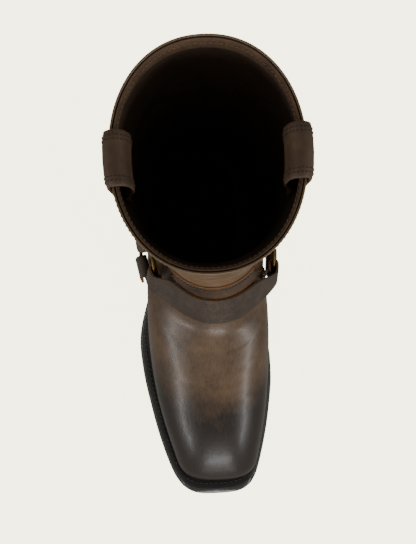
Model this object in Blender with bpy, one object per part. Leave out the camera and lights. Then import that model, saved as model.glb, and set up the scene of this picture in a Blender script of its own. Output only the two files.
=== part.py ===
"""A right harness boot: tall hollow shaft, square toe, stacked heel and a ringed harness.

Metres, +Z up, +X to the toe, +Y to the inner side of the foot. Lengths along the foot are
first counted from the back of the sole; a parent empty then moves the whole boot, so that
the origin lies on the heel's flat bottom face.
"""
from collections import namedtuple

import bmesh
import bpy
import numpy as np
from mathutils import Vector
from mathutils.bvhtree import BVHTree

# Driving dimensions of the sole
SOLE_LENGTH = 0.297
BALL_WIDTH = 0.115
HEEL_HEIGHT = 0.041
TOE_SPRING = 0.009
OUTSOLE_THICKNESS = 0.0055
WELT_THICKNESS = 0.004
INSOLE_THICKNESS = 0.003
INSOLE_ROOM = 0.0028
HEEL_CAP_THICKNESS = 0.007
HEEL_LENGTH = 0.092
EDGE_BEVEL = 0.002
TOE_BEVEL = 0.0038
HEEL_TAPER = 0.003
BREAST_RAKE = 0.003
CAP_BEVEL = 0.001
FEATHER_WIDTH = 0.008

# Driving dimensions of the upper
SHAFT_HEIGHT = 0.335
COLLAR_LENGTH = 0.142
COLLAR_WIDTH = 0.116
COLLAR_BACK = -0.005
COLLAR_SHIFT = 0.008
INSTEP_HEIGHT = 0.127
WALL = 0.0022
OVERLAY = 0.0015
COUNTER_FRONT = 0.101
COUNTER_FOOT = 0.0015
HEEL_SHIFT = -0.0015

# Driving dimensions of the harness and the pull straps
STRAP_WIDTH = 0.030
STRAP_END_WIDTH = 0.018
STRAP_THICKNESS = 0.0024
RING_RADIUS = 0.0165
RING_WIRE = 0.0034
RING_CENTRE_X = 0.101
RING_CENTRE_Z = 0.080
HEEL_STRAP_Z = 0.092
STRAP_INSTEP_X = 0.147
STRAP_INSTEP_Z = 0.102
ARCH_STRAP_X = 0.105
STRAP_STEP = 0.008
TAIL_LENGTH = 0.009
PULL_WIDTH = 0.032
PULL_THICKNESS = 0.0025
PULL_RISE = 0.014
PULL_REACH = 0.018
PULL_DROP = 0.045
PULL_CENTRE_X = 0.069

# Distances from which a piece looks in at the body to find its seat
STAND_BACK = 0.04
FAR_BACK = 2 * BALL_WIDTH
GAP = 0.0003
# Extra room that flat facets need where two curved pieces lie over each other
FACET_ROOM = 0.0003
LAID_LIFT = GAP + FACET_ROOM
STRAP_LIFT = LAID_LIFT + FACET_ROOM + STRAP_THICKNESS / 2
# How round a strap's fold is, as a share of a half circle's depth
FOLD_DEPTH = 0.9
# Small step below the collar at which a pull strap reads the shaft's side
COLLAR_STEP = 0.0005

# Mesh fineness
HALF_COLUMNS = 15
COUNTER_STEPS = 14
SIDE_RUNGS = 24
BREAST_RUNGS = 5
END_RUNGS = 8
FOLD_STATIONS = 7
FREE_STATIONS = 4
ARCH_STATIONS = 5
PULL_STATIONS = 22
PULL_COLUMNS = 5
RING_SEGMENTS = 28
WIRE_SEGMENTS = 8
# The fine copy of the upper on which pieces are laid, and the looks at it along a strap
BODY_COLUMNS = 121
BODY_ROWS = 131
STRAP_LOOKS = 81
# Steps in section number and around a section with which a surface direction is measured
NORMAL_STEP = 0.04
NORMAL_TURN = 0.03

LATERAL = -1
MEDIAL = 1

# Sides of the sole without its rounded ends: x as a share of the sole's length,
# half widths as shares of the ball width.
SoleSide = namedtuple("SoleSide", "x lateral medial")
SOLE_SIDES = [
    SoleSide(0.00, 0.372, 0.352),
    SoleSide(0.15, 0.376, 0.357),
    SoleSide(0.31, 0.387, 0.362),
    SoleSide(0.385, 0.374, 0.376),
    SoleSide(0.44, 0.412, 0.408),
    SoleSide(0.50, 0.463, 0.448),
    SoleSide(0.56, 0.488, 0.478),
    SoleSide(0.61, 0.479, 0.497),
    SoleSide(0.67, 0.460, 0.497),
    SoleSide(0.73, 0.428, 0.479),
    SoleSide(0.80, 0.388, 0.450),
    SoleSide(0.88, 0.328, 0.401),
    SoleSide(1.00, 0.226, 0.316),
]
# Share of the sole's length over which each end is rounded, and how square the curve is.
HEEL_ROUND = 0.145
HEEL_POWER = 2.3
TOE_ROUND = 0.118
TOE_POWER_LATERAL = 3.3
TOE_POWER_MEDIAL = 4.0
TOE_MIDDLE = 0.026

# Underside of the sole: x as a share of the length, height as a share of the heel height.
SoleRise = namedtuple("SoleRise", "x height")
SOLE_RISES = [
    SoleRise(0.00, 1.00),
    SoleRise(0.15, 0.95),
    SoleRise(0.31, 0.88),
    SoleRise(0.345, 0.82),
    SoleRise(0.385, 0.71),
    SoleRise(0.43, 0.55),
    SoleRise(0.48, 0.34),
    SoleRise(0.53, 0.155),
    SoleRise(0.58, 0.04),
    SoleRise(0.625, 0.00),
    SoleRise(0.73, 0.00),
]
TREAD_END = 0.73

# Distance in metres from the sole's edge to the upper's own foot line on each side.
FeatherMargin = namedtuple("FeatherMargin", "x lateral medial")
FEATHER_MARGINS = [
    FeatherMargin(0.00, 0.0048, 0.0048),
    FeatherMargin(0.31, 0.0050, 0.0050),
    FeatherMargin(0.385, 0.0062, 0.0052),
    FeatherMargin(0.44, 0.0072, 0.0056),
    FeatherMargin(0.52, 0.0100, 0.0068),
    FeatherMargin(0.62, 0.0132, 0.0078),
    FeatherMargin(0.73, 0.0140, 0.0080),
    FeatherMargin(1.00, 0.0140, 0.0080),
]
HEEL_MARGIN = 0.0048
TOE_MARGIN = 0.0146

# Sections of the upper, from the collar round the ankle to the toe. Each lies in a plane from
# a front point on the ridge to a back point: on the back seam down to the heel, then on the
# foot line. x columns are shares of the sole's length, front_z of the instep height, rise of
# the height from the foot line at the heel to the instep, widths and side shifts of the ball
# width. wide_ columns say how far down from the ridge each side is widest; the round_ columns
# are the powers of its curves (2 is an ellipse).
Section = namedtuple(
    "Section",
    "up front_x front_z ridge_y back_x rise back_y lateral medial"
    " wide_lateral wide_medial round_front round_back")
SECTIONS = [
    Section(1, .409, 1.30, .070, .035, 1.42, .060, .357, .496, .50, .50, 2.15, 2.15),
    Section(0, .409, 1.30, .078, .035, 1.42, .048, .357, .496, .50, .48, 2.10, 2.10),
    Section(0, .427, 1.08, .084, .017, 0.80, .022, .332, .472, .52, .44, 2.05, 2.30),
    Section(0, .456, 0.892, .092, .0115, 0.25, .000, .318, .457, .57, .38, 2.00, 2.65),
    Section(0, .478, 0.812, .096, .0162, 0.00, -.013, .325, .450, .62, .34, 2.00, 2.85),
    Section(0, .513, 0.695, .104, .067, 0.00, -.013, .345, .446, .64, .36, 2.00, 2.70),
    Section(0, .566, 0.602, .110, .202, 0.00, -.013, .362, .443, .66, .45, 2.00, 2.40),
    Section(0, .638, 0.541, .108, .364, 0.00, -.013, .380, .454, .72, .55, 2.00, 2.10),
    Section(0, .7155, 0.492, .098, .522, 0.00, -.013, .386, .455, .78, .66, 2.05, 2.10),
    Section(0, .795, 0.447, .088, .663, 0.00, -.013, .350, .434, .80, .74, 2.15, 2.10),
    Section(0, .870, 0.385, .082, .774, 0.00, -.013, .290, .395, .82, .80, 2.30, 2.10),
    Section(0, .926, 0.296, .080, .838, 0.00, -.013, .244, .360, .86, .86, 2.50, 2.10),
    Section(0, .950, 0.195, .080, .872, 0.00, -.013, .217, .338, .90, .90, 2.80, 2.10),
    Section(0, .9509, 0.126, .080, .882, 0.00, -.013, .205, .328, .97, .97, 3.00, 2.10),
]
SECTION_STEPS = [3, 3, 2, 2, 5, 3, 4, 4, 2, 2, 2, 3, 2]
FIRST_FOOT_SECTION = 4
# How closely rows crowd to the back seam, where the foot line turns away from it
HEEL_CROWDING = 2

# Rear edge of the vamp: section number and share of the way from the ridge to the end.
VampEdge = namedtuple("VampEdge", "section reach")
VAMP_EDGES = [
    VampEdge(2.30, 0.200),
    VampEdge(3.00, 0.215),
    VampEdge(4.00, 0.262),
    VampEdge(5.00, 0.360),
    VampEdge(6.00, 0.600),
    VampEdge(6.70, 0.860),
    VampEdge(7.00, 1.000),
]

# Upper edge of the counter: how far forward round the heel, as a share of the way from the
# back seam to the counter's front edge, and its height as a share of the instep height.
CounterEdge = namedtuple("CounterEdge", "forward height")
COUNTER_EDGES = [
    CounterEdge(0.00, 0.90),
    CounterEdge(0.20, 0.86),
    CounterEdge(0.45, 0.74),
    CounterEdge(0.75, 0.61),
    CounterEdge(1.00, 0.53),
]

# Heights of the counter's rows, as shares of its height
COUNTER_SHARES = [0.0, 0.025, 0.065, 0.13, 0.26, 0.46, 0.72, 1.0]

# Path of a pull strap over the collar: out is the share of its reach into the boot, negative
# outside the wall; up is a share of its rise above the collar, or of its drop below it.
PullPoint = namedtuple("PullPoint", "out up")
PULL_ARCH = [
    PullPoint(0.00, -0.22),
    PullPoint(-0.02, 0.00),
    PullPoint(-0.01, 0.45),
    PullPoint(0.09, 0.86),
    PullPoint(0.31, 1.00),
    PullPoint(0.54, 0.86),
    PullPoint(0.68, 0.45),
    PullPoint(0.74, 0.00),
    PullPoint(0.70, -0.24),
    PullPoint(0.54, -0.52),
    PullPoint(0.37, -0.76),
]

COLOURS = {
    "leather": (0.105, 0.068, 0.047, 1.0),
    "strap_leather": (0.075, 0.055, 0.042, 1.0),
    "lining": (0.045, 0.028, 0.017, 1.0),
    "sole_black": (0.012, 0.011, 0.010, 1.0),
    "heel_black": (0.016, 0.013, 0.011, 1.0),
    "rubber": (0.010, 0.010, 0.010, 1.0),
    "old_brass": (0.28, 0.21, 0.12, 1.0),
}


def natural_spline(knots, values, where):
    """Cubic curve with smooth bends through a table's rows, read at one or more places."""
    knots = np.asarray(knots, float)
    values = np.asarray(values, float)
    flat = values.reshape(len(knots), -1)
    steps = np.diff(knots)
    size = len(knots)
    matrix = np.eye(size)
    right = np.zeros_like(flat)
    for i in range(1, size - 1):
        matrix[i, i - 1:i + 2] = steps[i - 1], 2 * (steps[i - 1] + steps[i]), steps[i]
        after = (flat[i + 1] - flat[i]) / steps[i]
        before = (flat[i] - flat[i - 1]) / steps[i - 1]
        right[i] = 6 * (after - before)
    bends = np.linalg.solve(matrix, right)
    x = np.atleast_1d(where).astype(float)
    i = np.clip(np.searchsorted(knots, x) - 1, 0, size - 2)
    h = steps[i][:, None]
    a = (knots[i + 1] - x)[:, None] / h
    b = 1 - a
    curve = a * flat[i] + b * flat[i + 1]
    curve += ((a ** 3 - a) * bends[i] + (b ** 3 - b) * bends[i + 1]) * h ** 2 / 6
    return curve.reshape((len(x),) + values.shape[1:])


def steady_curve(knots, values, where):
    """Cubic curve through a table's rows that never swings past them."""
    knots = np.asarray(knots, float)
    values = np.asarray(values, float)
    steps = np.diff(knots)
    rises = np.diff(values) / steps
    slopes = np.zeros(len(knots))
    slopes[0] = rises[0]
    slopes[-1] = rises[-1]
    for i in range(1, len(knots) - 1):
        if rises[i - 1] * rises[i] > 0:
            near = 2 * steps[i] + steps[i - 1]
            far = steps[i] + 2 * steps[i - 1]
            slopes[i] = (near + far) / (near / rises[i - 1] + far / rises[i])
    x = np.atleast_1d(where).astype(float)
    i = np.clip(np.searchsorted(knots, x) - 1, 0, len(knots) - 2)
    h = steps[i]
    t = np.clip((x - knots[i]) / h, 0, 1)
    curve = values[i] * (1 + 2 * t) * (1 - t) ** 2 + values[i + 1] * t ** 2 * (3 - 2 * t)
    return curve + h * (slopes[i] * t * (1 - t) ** 2 - slopes[i + 1] * t ** 2 * (1 - t))


def column(table, name):
    """One named column of a table."""
    return [getattr(row, name) for row in table]


def side_name(side):
    return "lateral" if side == LATERAL else "medial"


def sole_bottom(x):
    """Height of the sole's underside at a distance from its back."""
    share = np.clip(x / SOLE_LENGTH, 0, TREAD_END)
    height = HEEL_HEIGHT * steady_curve(column(SOLE_RISES, "x"), column(SOLE_RISES, "height"), share)
    ahead = np.clip(x / SOLE_LENGTH - TREAD_END, 0, None) / (1 - TREAD_END)
    return height + TOE_SPRING * ahead ** 2


def sole_side(x, side):
    """Half width of the sole, before its ends are rounded."""
    half = steady_curve(column(SOLE_SIDES, "x"), column(SOLE_SIDES, side_name(side)), x / SOLE_LENGTH)
    return BALL_WIDTH * half


def feather_margin(x, side):
    share = x / SOLE_LENGTH
    return steady_curve(
        column(FEATHER_MARGINS, "x"), column(FEATHER_MARGINS, side_name(side)), share)


def outline_y(x, side, inset, heel_inset, toe_inset):
    """Side position of an outline that lies inset from the sole's own outline."""
    x = np.atleast_1d(x).astype(float)
    half = sole_side(x, side) - inset
    heel_end = HEEL_ROUND * SOLE_LENGTH
    toe_start = SOLE_LENGTH * (1 - TOE_ROUND)
    power = TOE_POWER_LATERAL if side == LATERAL else TOE_POWER_MEDIAL
    back = np.clip((heel_end - x) / (heel_end - heel_inset), 0, 1)
    front = np.clip((x - toe_start) / (SOLE_LENGTH - toe_inset - toe_start), 0, 1)
    middle = TOE_MIDDLE * BALL_WIDTH * np.clip((x / SOLE_LENGTH - 0.5) / 0.5, 0, 1)
    heel_factor = (1 - back ** HEEL_POWER) ** (1 / HEEL_POWER)
    toe_factor = (1 - front ** power) ** (1 / power)
    return middle + (side * half - middle) * heel_factor * toe_factor


def outline(inset, heel_inset, toe_inset, end=None):
    """Rungs of an outline from the heel's back to the toe: x, lateral y and medial y."""
    heel_end = HEEL_ROUND * SOLE_LENGTH
    toe_start = SOLE_LENGTH * (1 - TOE_ROUND)
    turns = np.linspace(0, np.pi / 2, END_RUNGS)
    heel_xs = heel_end - (heel_end - heel_inset) * np.cos(turns) ** (2 / HEEL_POWER)
    if end is None:
        side_xs = np.linspace(heel_end, toe_start, SIDE_RUNGS)[1:-1]
        mean_power = (TOE_POWER_LATERAL + TOE_POWER_MEDIAL) / 2
        toe_reach = SOLE_LENGTH - toe_inset - toe_start
        toe_xs = toe_start + toe_reach * np.sin(turns) ** (2 / mean_power)
        xs = np.concatenate([heel_xs, side_xs, toe_xs])
    else:
        xs = np.concatenate([heel_xs, np.linspace(heel_end, end, BREAST_RUNGS)[1:]])
    sides = []
    for side in (LATERAL, MEDIAL):
        own_inset = inset(xs, side) if callable(inset) else inset
        sides.append(outline_y(xs, side, own_inset, heel_inset, toe_inset))
    return xs, sides[0], sides[1]


def feather(x, side):
    """Side position of the upper's foot line."""
    return outline_y(x, side, feather_margin(x, side), HEEL_MARGIN, TOE_MARGIN)


def stack_height():
    """Height from the sole's underside to the upper's lower rim."""
    return OUTSOLE_THICKNESS + WELT_THICKNESS + 2 * GAP


def section_rows():
    """The section table in metres: spline knots, ridge and end points and side sizes."""
    rows = []
    heel_z = float(sole_bottom(np.array([HEEL_MARGIN]))[0]) + stack_height()
    for row in SECTIONS:
        front = np.array([row.front_x * SOLE_LENGTH, row.front_z * INSTEP_HEIGHT])
        back = np.array([row.back_x * SOLE_LENGTH, heel_z + row.rise * (INSTEP_HEIGHT - heel_z)])
        sizes = np.array([row.ridge_y, row.back_y, row.lateral, row.medial]) * BALL_WIDTH
        collar_front = np.array([COLLAR_BACK + COLLAR_LENGTH, SHAFT_HEIGHT])
        collar_back = np.array([COLLAR_BACK, SHAFT_HEIGHT])
        half = COLLAR_WIDTH / 2
        collar_sizes = np.array([COLLAR_SHIFT, COLLAR_SHIFT, half - COLLAR_SHIFT, half + COLLAR_SHIFT])
        front += row.up * (collar_front - front)
        back += row.up * (collar_back - back)
        sizes += row.up * (collar_sizes - sizes)
        shape = [row.wide_lateral, row.wide_medial, row.round_front, row.round_back]
        rows.append(np.concatenate([front, back, sizes, shape]))
    rows = np.array(rows)
    travel = (np.linalg.norm(np.diff(rows[:, 0:2], axis=0), axis=1)
              + np.linalg.norm(np.diff(rows[:, 2:4], axis=0), axis=1)) / 2
    return np.concatenate([[0], np.cumsum(travel)]), rows


SECTION_KNOTS, SECTION_ROWS = section_rows()


def place(section):
    """Distance along the upper of a section number, which may lie between two rows."""
    return float(np.interp(section, range(len(SECTIONS)), SECTION_KNOTS))


def half_section(section, side, count=49):
    """Points of one side of a section, from the ridge to its end, evenly spaced."""
    at = place(section)
    row = natural_spline(SECTION_KNOTS, SECTION_ROWS, at)[0]
    front_x, front_z, _, _, ridge_y, _, lateral, medial, wide_l, wide_m, front_n, back_n = row
    end_x, end_z, end_y = [
        float(steady_curve(SECTION_KNOTS, SECTION_ROWS[:, i], at)[0]) for i in (2, 3, 5)]
    if section > FIRST_FOOT_SECTION:
        end_x = max(end_x, HEEL_MARGIN)
        end_z = float(sole_bottom(np.array([end_x]))[0]) + stack_height()
        end_y = float(feather(np.array([end_x]), side)[0])
    widest = lateral * side if side == LATERAL else medial
    wide = wide_l if side == LATERAL else wide_m
    turn = np.linspace(0, np.pi / 2, count)
    front_reach = (np.cos(turn) ** front_n + np.sin(turn) ** front_n) ** (-1 / front_n)
    back_reach = (np.cos(turn) ** back_n + np.sin(turn) ** back_n) ** (-1 / back_n)
    down = np.concatenate([wide * (1 - front_reach * np.cos(turn)),
                           wide + (1 - wide) * (back_reach * np.sin(turn))[1:]])
    out = np.concatenate([ridge_y + (widest - ridge_y) * front_reach * np.sin(turn),
                          end_y + (widest - end_y) * (back_reach * np.cos(turn))[1:]])
    points = np.stack([front_x + (end_x - front_x) * down, out,
                       front_z + (end_z - front_z) * down], axis=1)
    lengths = np.concatenate([[0], np.cumsum(np.linalg.norm(np.diff(points, axis=0), axis=1))])
    return points, lengths / lengths[-1]


SECTION_CACHE = {}


def upper_point(section, around):
    """A point of the upper's outer face; around is -1 at the lateral end, 1 at the medial."""
    side = LATERAL if around < 0 else MEDIAL
    key = (round(section, 6), side)
    if key not in SECTION_CACHE:
        SECTION_CACHE[key] = half_section(section, side)
    points, shares = SECTION_CACHE[key]
    return np.array([np.interp(abs(around), shares, points[:, i]) for i in range(3)])


def upper_normal(section, around):
    """Outward direction of the upper's outer face, read just inside its ends."""
    last = len(SECTIONS) - 1
    around = float(np.clip(around, NORMAL_TURN - 1, 1 - NORMAL_TURN))
    s0, s1 = max(section - NORMAL_STEP, 0), min(section + NORMAL_STEP, last)
    a0, a1 = around - NORMAL_TURN, around + NORMAL_TURN
    along = upper_point(s1, around) - upper_point(s0, around)
    across = upper_point(section, a1) - upper_point(section, a0)
    normal = np.cross(along, across)
    return normal / np.linalg.norm(normal)


def mesh_section_numbers(first=0.0):
    """Section numbers of the mesh's rows from a first one on."""
    numbers = [first]
    for i, steps in enumerate(SECTION_STEPS):
        power = HEEL_CROWDING if i == FIRST_FOOT_SECTION else 1
        inside = [i + (k / steps) ** power for k in range(steps)]
        numbers.extend(number for number in inside if number > first)
    numbers.append(float(len(SECTIONS) - 1))
    return numbers


def rim_height(x):
    """Height of the upper's lower rim over the welt."""
    return float(sole_bottom(np.array([x]))[0]) + stack_height()


def over_welt(point):
    """The same point, raised to the rim's height if it lies lower."""
    return np.array([point[0], point[1], max(point[2], rim_height(point[0]))])


def level_out(normal):
    """A way out that doesn't point down, as long as keeps a lifted wall's true distance."""
    if normal[2] >= 0:
        return normal
    level_part = normal * (1, 1, 0)
    return level_part / max(np.dot(level_part, level_part), 0.5)


def lifted(section, around, lift):
    """A point off the upper's outer face, never below the rim over the welt."""
    return over_welt(upper_point(section, around) + lift * level_out(upper_normal(section, around)))


def new_material(name, colour, roughness, metallic=0.0):
    material = bpy.data.materials.new(name)
    material.use_nodes = True
    shader = material.node_tree.nodes["Principled BSDF"]
    shader.inputs["Base Color"].default_value = colour
    shader.inputs["Roughness"].default_value = roughness
    shader.inputs["Metallic"].default_value = metallic
    return material


def own(item, name, material, sharp):
    """Name an object, give it its material and put it under the boot's frame."""
    item.name = name
    for owner in list(item.users_collection):
        owner.objects.unlink(item)
    boot = bpy.data.collections["harness_boot"]
    boot.objects.link(item)
    item.parent = bpy.data.objects["boot_frame"]
    item.data.materials.append(material)
    item.data.shade_smooth()
    item.data.set_sharp_from_angle(angle=sharp)
    return item


def new_object(name, points, faces, material, sharp=0.7):
    """A closed mesh object from points and faces, with doubled points merged."""
    work = bmesh.new()
    verts = [work.verts.new(tuple(p)) for p in points]
    for face in faces:
        work.faces.new([verts[i] for i in face])
    bmesh.ops.remove_doubles(work, verts=work.verts, dist=1e-6)
    bmesh.ops.dissolve_degenerate(work, edges=work.edges, dist=1e-7)
    bmesh.ops.recalc_face_normals(work, faces=work.faces)
    mesh = bpy.data.meshes.new(name)
    work.to_mesh(mesh)
    work.free()
    return own(bpy.data.objects.new(name, mesh), name, material, sharp)


def grid_faces(rows, columns, closed_columns=False):
    """Quads between the points of a grid, row by row."""
    faces = []
    for i in range(rows - 1):
        for j in range(columns if closed_columns else columns - 1):
            k = (j + 1) % columns
            faces.append((i * columns + j, (i + 1) * columns + j, (i + 1) * columns + k,
                          i * columns + k))
    return faces


def shell(name, outer, inner, material, sharp=0.7, seam_rows=0):
    """A closed wall between two grids of points. The first seam_rows rows are closed loops,
    whose first and last columns meet, so they get no rim there."""
    rows, columns = len(outer), len(outer[0])
    size = rows * columns
    points = [p for row in outer for p in row] + [p for row in inner for p in row]
    faces = grid_faces(rows, columns)
    faces += [tuple(size + k for k in face[::-1]) for face in faces]
    for i in range(rows - 1):
        if i >= seam_rows - 1:
            for j in (0, columns - 1):
                a, b = i * columns + j, (i + 1) * columns + j
                faces.append((a, b, size + b, size + a))
    for i in (0, rows - 1):
        for j in range(columns - 1):
            a, b = i * columns + j, i * columns + j + 1
            faces.append((a, b, size + b, size + a))
    return new_object(name, points, faces, material, sharp)


def make_upper(material):
    """The lasted body and the shaft, one wall, open at the collar and underneath."""
    arounds = np.linspace(-1, 1, 2 * HALF_COLUMNS + 1)
    sections = mesh_section_numbers()
    outer = [[lifted(s, a, 0.0) for a in arounds] for s in sections]
    inner = [[lifted(s, a, -WALL) for a in arounds] for s in sections]
    seam_rows = sum(1 for s in sections if s <= FIRST_FOOT_SECTION)
    for row in range(seam_rows):
        for grid in (outer, inner):
            middle = (grid[row][0] + grid[row][-1]) / 2
            grid[row][0] = middle
            grid[row][-1] = middle
    return shell("upper", outer, inner, material, seam_rows=seam_rows)


class Body:
    """A fine copy of the upper's outer face, on which pieces are laid by looking at it, and
    the pieces already laid on it."""

    def __init__(self):
        arounds = np.linspace(-1, 1, BODY_COLUMNS)
        sections = np.linspace(0, len(SECTIONS) - 1, BODY_ROWS)
        points = [tuple(lifted(s, a, 0.0)) for s in sections for a in arounds]
        faces = grid_faces(len(sections), len(arounds))
        self.tree = BVHTree.FromPolygons(points, faces)
        self.layers = [self.tree]

    def lay(self, item):
        """Count a piece that now lies on the body."""
        points = [tuple(v.co) for v in item.data.vertices]
        faces = [tuple(p.vertices) for p in item.data.polygons]
        self.layers.append(BVHTree.FromPolygons(points, faces))

    def height_at(self, spot, normal):
        """How far the body and all its layers rise over a place, measured along a direction."""
        start = Vector(spot + normal * STAND_BACK)
        heights = []
        for layer in self.layers:
            distance = layer.ray_cast(start, Vector(-normal))[3]
            if distance is not None:
                heights.append(STAND_BACK - distance)
        return max(heights, default=-STAND_BACK)

    def hit(self, origin, direction):
        """Place that a ray meets and the face's outward direction there."""
        spot, normal, _, _ = self.tree.ray_cast(Vector(origin), Vector(direction))
        spot, normal = np.array(spot), np.array(normal)
        if np.dot(normal, direction) > 0:
            normal = -normal
        return spot, normal


def overlay(body, name, points, ways, material):
    """A wall of the overlay's thickness on a grid of points, which are first moved out along
    their ways until the faces between them clear the body."""
    shares = [(u, v) for u in np.linspace(0, 1, 5) for v in np.linspace(0, 1, 5)]
    for i in range(len(points) - 1):
        for j in range(len(points[0]) - 1):
            corners = ((i, j), (i, j + 1), (i + 1, j), (i + 1, j + 1))
            for u, v in shares:
                weights = ((1 - u) * (1 - v), (1 - u) * v, u * (1 - v), u * v)
                spot = sum(w * points[a][b] for w, (a, b) in zip(weights, corners))
                way = unit(sum(w * ways[a][b] for w, (a, b) in zip(weights, corners)))
                short = LAID_LIFT + body.height_at(spot, way)
                for a, b in corners:
                    points[a][b] = points[a][b] + unit(ways[a][b]) * max(short, 0.0)
    inner = [[over_welt(p) for p in row] for row in points]
    outer = [[over_welt(p + w * OVERLAY) for p, w in zip(*rows)] for rows in zip(points, ways)]
    return shell(name, outer, inner, material)


def make_vamp(body, material):
    """The front piece with its tongue, laid over the upper."""
    columns = np.linspace(-1, 1, 2 * HALF_COLUMNS + 1)
    knots, values = column(VAMP_EDGES, "section"), column(VAMP_EDGES, "reach")
    points = []
    ways = []
    for s in mesh_section_numbers(VAMP_EDGES[0].section):
        reach = 1.0
        if s < VAMP_EDGES[-1].section:
            reach = float(steady_curve(knots, values, s)[0])
        points.append([lifted(s, c * reach, LAID_LIFT) for c in columns])
        ways.append([level_out(upper_normal(s, c * reach)) for c in columns])
    return overlay(body, "vamp", points, ways, material)


def make_counter(body, material):
    """The heel piece laid over the upper's back, up to its own edge."""
    heel_end = HEEL_ROUND * SOLE_LENGTH
    front = COUNTER_FRONT - heel_end
    quarter = heel_end * np.pi / 2
    ways = []
    for distance in np.linspace(0, quarter + front, COUNTER_STEPS + 1):
        if distance < quarter:
            turn = distance / quarter * np.pi / 2
            ways.append((heel_end, -np.cos(turn), np.sin(turn), distance / (quarter + front)))
        else:
            ways.append((heel_end + distance - quarter, 0.0, 1.0, distance / (quarter + front)))
    knots, heights = column(COUNTER_EDGES, "forward"), column(COUNTER_EDGES, "height")
    points = []
    all_ways = []
    order = [(LATERAL, w) for w in ways[::-1]] + [(MEDIAL, w) for w in ways[1:]]
    for side, (centre_x, way_x, way_y, forward) in order:
        way = np.array([way_x, side * way_y, 0.0])
        top = float(steady_curve(knots, heights, forward)[0]) * INSTEP_HEIGHT
        foot_x = centre_x + way_x * (heel_end - HEEL_MARGIN)
        look = np.array([centre_x, HEEL_SHIFT, rim_height(foot_x) + COUNTER_FOOT])
        foot = rim_height(body.hit(look + way * FAR_BACK, -way)[0][0]) + COUNTER_FOOT
        point_row, way_row = [], []
        for share in COUNTER_SHARES:
            start = np.array([centre_x, HEEL_SHIFT, foot + (top - foot) * share])
            spot = body.hit(start + way * FAR_BACK, -way)[0]
            way_row.append(way)
            point_row.append(spot + way * LAID_LIFT)
        points.append(point_row)
        all_ways.append(way_row)
    return overlay(body, "counter", points, all_ways, material)


def slab(name, levels, material, hollow=False):
    """A flat piece from stacked outlines; each level is (x, lateral y, medial y, z)."""
    points = []
    loops = []
    rungs = len(levels[0][0])
    for xs, lateral, medial, z in levels:
        loop = []
        for i in range(rungs):
            loop.append(len(points))
            points.append((xs[i], lateral[i], z[i]))
        for i in reversed(range(rungs)):
            loop.append(len(points))
            points.append((xs[i], medial[i], z[i]))
        loops.append(loop)
    faces = []
    size = 2 * rungs
    pairs = list(zip(loops, loops[1:]))
    if hollow:
        pairs.append((loops[-1], loops[0]))
    for low, high in pairs:
        for i in range(size):
            k = (i + 1) % size
            faces.append((low[i], low[k], high[k], high[i]))
    if not hollow:
        for loop in (loops[0], loops[-1]):
            for i in range(rungs - 1):
                faces.append((loop[i], loop[i + 1], loop[size - 2 - i], loop[size - 1 - i]))
    return new_object(name, points, faces, material, sharp=0.6)


def level(rungs, lift):
    """An outline at a height above the sole's underside."""
    xs, lateral, medial = rungs
    return xs, lateral, medial, sole_bottom(xs) + lift


def feather_inset(extra):
    """Inset rule that follows the upper's foot line, moved in by some more."""
    return lambda xs, side: feather_margin(xs, side) + extra


def make_outsole(material):
    """One sole with a small lower bevel and a wider upper one that catches the light."""
    widest = outline(0.0, 0.0, 0.0)
    under = outline(EDGE_BEVEL / 2, EDGE_BEVEL / 2, EDGE_BEVEL / 2)
    over = outline(EDGE_BEVEL, EDGE_BEVEL / 2, TOE_BEVEL)
    levels = [level(under, 0.0),
              level(widest, OUTSOLE_THICKNESS * 0.25),
              level(widest, OUTSOLE_THICKNESS * 0.5),
              level(over, OUTSOLE_THICKNESS)]
    return slab("outsole", levels, material)


def make_welt(material):
    """The ring that the upper stands on."""
    low = OUTSOLE_THICKNESS + GAP
    high = low + WELT_THICKNESS
    edge = outline(EDGE_BEVEL + GAP, EDGE_BEVEL, TOE_BEVEL + GAP)
    crown = outline(EDGE_BEVEL + 4 * GAP, EDGE_BEVEL + 2 * GAP, TOE_BEVEL + 4 * GAP)
    hole = outline(feather_inset(FEATHER_WIDTH), HEEL_MARGIN + FEATHER_WIDTH,
                   TOE_MARGIN + FEATHER_WIDTH)
    levels = [level(edge, low), level(edge, high - 3 * GAP), level(crown, high),
              level(hole, high), level(hole, low)]
    return slab("welt", levels, material, hollow=True)


def make_insole(material):
    """The footbed: a plug in the welt's hole with a wider flange inside the upper."""
    low = OUTSOLE_THICKNESS + GAP
    step = OUTSOLE_THICKNESS + WELT_THICKNESS + 2 * GAP
    plug_inset = FEATHER_WIDTH + GAP
    flange_inset = WALL + INSOLE_ROOM
    plug = outline(feather_inset(plug_inset), HEEL_MARGIN + plug_inset, TOE_MARGIN + plug_inset)
    flange = outline(feather_inset(flange_inset), HEEL_MARGIN + flange_inset,
                     TOE_MARGIN + flange_inset)
    levels = [level(plug, low), level(plug, step), level(flange, step),
              level(flange, step + INSOLE_THICKNESS)]
    return slab("insole", levels, material)


def heel_level(inset, forward, breast, height):
    """The heel's outline at one height, moved forward and in as the heel tapers."""
    xs, lateral, medial = outline(inset, inset, 0.0, HEEL_LENGTH - breast)
    share = xs / (HEEL_LENGTH - breast)
    return xs + forward * (1 - share), lateral, medial, height


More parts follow.
